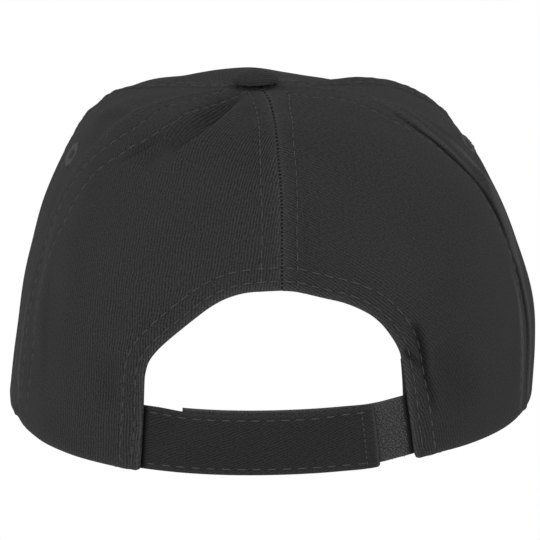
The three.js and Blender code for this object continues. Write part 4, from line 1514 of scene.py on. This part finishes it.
def thread_material(name, tone, twist=2.2, sheen=0.2):
    """Spun thread: a tone with fine bands of twist."""
    material, tree = new_material(name)
    place = tree.nodes.new("ShaderNodeTexCoord").outputs["Object"]
    scaled = tree.nodes.new("ShaderNodeMapping")
    scaled.inputs["Scale"].default_value = (1 / MM, 1 / MM, 1 / MM)
    tree.links.new(place, scaled.inputs["Vector"])
    fuzz = place_group(tree, FUZZ, scaled.outputs[0], speck_size=twist)
    colour_between(tree, tone * 0.4, tone * 1.6, fuzz.outputs["Speck"])
    bump_from(tree, fuzz.outputs["Speck"], 0.1)
    set_shader(tree, Roughness=0.8, Specular_IOR_Level=0.3, Sheen_Weight=sheen)
    return material


# Camera: straight behind, a little above, at the photograph's angle.
VIEW_TURN = 176.5
VIEW_RISE = 13.5
VIEW_ROLL = 1.463
VIEW_DISTANCE = 1800
VIEW_SCALE = 2.95
VIEW_TARGET = (0, 0, 55)
TARGET_PIXEL = (267.36, 238.69)
PICTURE = 540
SENSOR = 36


def make_camera():
    turn = math.radians(VIEW_TURN)
    rise = math.radians(VIEW_RISE)
    back = Vector((math.sin(turn) * math.cos(rise), -math.cos(turn) * math.cos(rise),
                   math.sin(rise)))
    level = Vector((0, 0, 1)).cross(back).normalized()
    over = back.cross(level)
    roll = math.radians(VIEW_ROLL)
    right = level * math.cos(roll) - over * math.sin(roll)
    up = level * math.sin(roll) + over * math.cos(roll)
    aim = (Vector(VIEW_TARGET) + right * ((PICTURE / 2 - TARGET_PIXEL[0]) / VIEW_SCALE)
           - up * ((PICTURE / 2 - TARGET_PIXEL[1]) / VIEW_SCALE))
    data = bpy.data.cameras.new("camera")
    data.sensor_width = SENSOR
    data.lens = SENSOR * VIEW_DISTANCE / (PICTURE / VIEW_SCALE)
    data.clip_end = 50
    camera = bpy.data.objects.new("camera", data)
    place = Vector(placed(np.array(aim + back * VIEW_DISTANCE)))
    turned = Matrix((right, up, back)).transposed().to_4x4()
    camera.matrix_world = Matrix.Translation(place) @ turned
    bpy.context.scene.collection.objects.link(camera)
    bpy.context.scene.camera = camera


def frame_origin():
    """Where the crown's own origin lies in the frame, found from the button."""
    low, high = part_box("button")
    return np.array([(low.x + high.x) / 2 - BUTTON_LEAN * MM, (low.y + high.y) / 2,
                     high.z - (CROWN_HEIGHT + BUTTON_SEAT + BUTTON_RISE) * MM])


ORIGIN = frame_origin()

# Light: an even white room, and soft boxes that give the cloth its shape.
ROOM_LIGHT = 0.62
LIGHTS = [
    ("box behind", (0.5, 2.2, 0.9), 1.4, 16.0),
    ("box right", (-2.2, -0.9, 0.3), 0.9, 9.0),
    ("box left", (2.2, -0.9, 0.3), 0.9, 5.0),
]
LIGHTS_AIM = (0, 0, 0.06)
FLOOR_SIZE = 12
FLOOR_DROP = 0.0005


def make_light():
    world = bpy.data.worlds.new("room")
    bpy.context.scene.world = world
    world.use_nodes = True
    tree = world.node_tree
    tree.nodes.clear()
    back = tree.nodes.new("ShaderNodeBackground")
    back.inputs["Color"].default_value = grey(1)
    out = tree.nodes.new("ShaderNodeOutputWorld")
    tree.links.new(seen_white(tree), back.inputs["Strength"])
    tree.links.new(back.outputs[0], out.inputs["Surface"])
    centre = Vector(LIGHTS_AIM)
    for name, place, size, power in LIGHTS:
        data = bpy.data.lights.new(name, "AREA")
        data.size = size
        data.energy = power
        light = bpy.data.objects.new(name, data)
        light.location = place
        light.rotation_euler = (Vector(place) - centre).to_track_quat("Z", "Y").to_euler()
        bpy.context.scene.collection.objects.link(light)


def make_floor():
    bpy.ops.mesh.primitive_plane_add(size=FLOOR_SIZE)
    floor = bpy.context.object
    floor.name = "floor"
    material, tree = new_material("white floor")
    tree.nodes.clear()
    glow = tree.nodes.new("ShaderNodeEmission")
    out = tree.nodes.new("ShaderNodeOutputMaterial")
    tree.links.new(seen_white(tree), glow.inputs["Strength"])
    tree.links.new(glow.outputs[0], out.inputs["Surface"])
    floor.data.materials.append(material)
    floor.location.z = -FLOOR_DROP


make_camera()
make_light()
make_floor()
bpy.context.scene.view_settings.view_transform = "Standard"

CLOTH_TONE = 0.037
left_twill = cloth_material("twill, left back", CLOTH_TONE, 2, rib_pitch=0.96, contrast=2.0)
right_twill = cloth_material("twill, right back", CLOTH_TONE, -12, rib_pitch=0.96, contrast=1.9)
plain_twill = cloth_material("twill", CLOTH_TONE, -30, contrast=0.9)
button_twill = cloth_material("button twill", CLOTH_TONE, 96)
strap_twill = cloth_material("strap twill", 0.028, -62, rib_pitch=1.03, contrast=1.2)
band_cloth = cloth_material("band cloth", 0.026, 45, rib_pitch=0.7, contrast=0.5)
pile = cloth_material("loop pile", 0.054, 30, rib_pitch=0.9, contrast=0.8, rib_depth=0.3)
thread = thread_material("thread", 0.067, sheen=0.0)
pale_thread = thread_material("eyelet thread", 0.075, sheen=0.0)
pile_thread = thread_material("pile thread", 0.085)
rivet = thread_material("rivet enamel", 0.02, 0.4, 0.0)

seamed_panel("front_panel", "front_right", "front_left", plain_twill, 360)
seamed_panel("side_panel_left", "front_left", "back_left", plain_twill)
seamed_panel("side_panel_right", "back_right", "front_right", plain_twill)
back_panel("left", left_twill)
back_panel("right", right_twill, RIB_CENTRE)
peak(plain_twill)
sweatband(band_cloth)
outer_strap(strap_twill)
inner_strap(pile)
button_dome(button_twill)
button_rivet(rivet)

for panel_name in PANEL_EDGES:
    threads(f"stitches_{panel_name}", *joined_rows(panel_rows(panel_name)), STITCH_LENGTH,
            THREAD_WIDTH, thread, STITCH_SINK)
threads("stitches_centre_seam", *seam_ladder("centre", "back_panel_left"), LADDER_LENGTH,
        THREAD_WIDTH, thread, LADDER_END_SINK)
threads("stitches_strap", *strap_rows(), THREAD_WIDTH, thread, STITCH_SINK)
threads("stitches_peak", *joined_rows(peak_rows()), STITCH_LENGTH, THREAD_WIDTH, thread,
        STITCH_SINK)
pile_loops(pile_thread)
for side, place in (("left", LEFT_EYELET), ("right", RIGHT_EYELET)):
    seat = eyelet(f"eyelet_{side}_stitches", f"side_panel_{side}", place, pale_thread)
    eyelet_bed(f"eyelet_{side}_bed", seat, thread, f"eyelet_{side}")
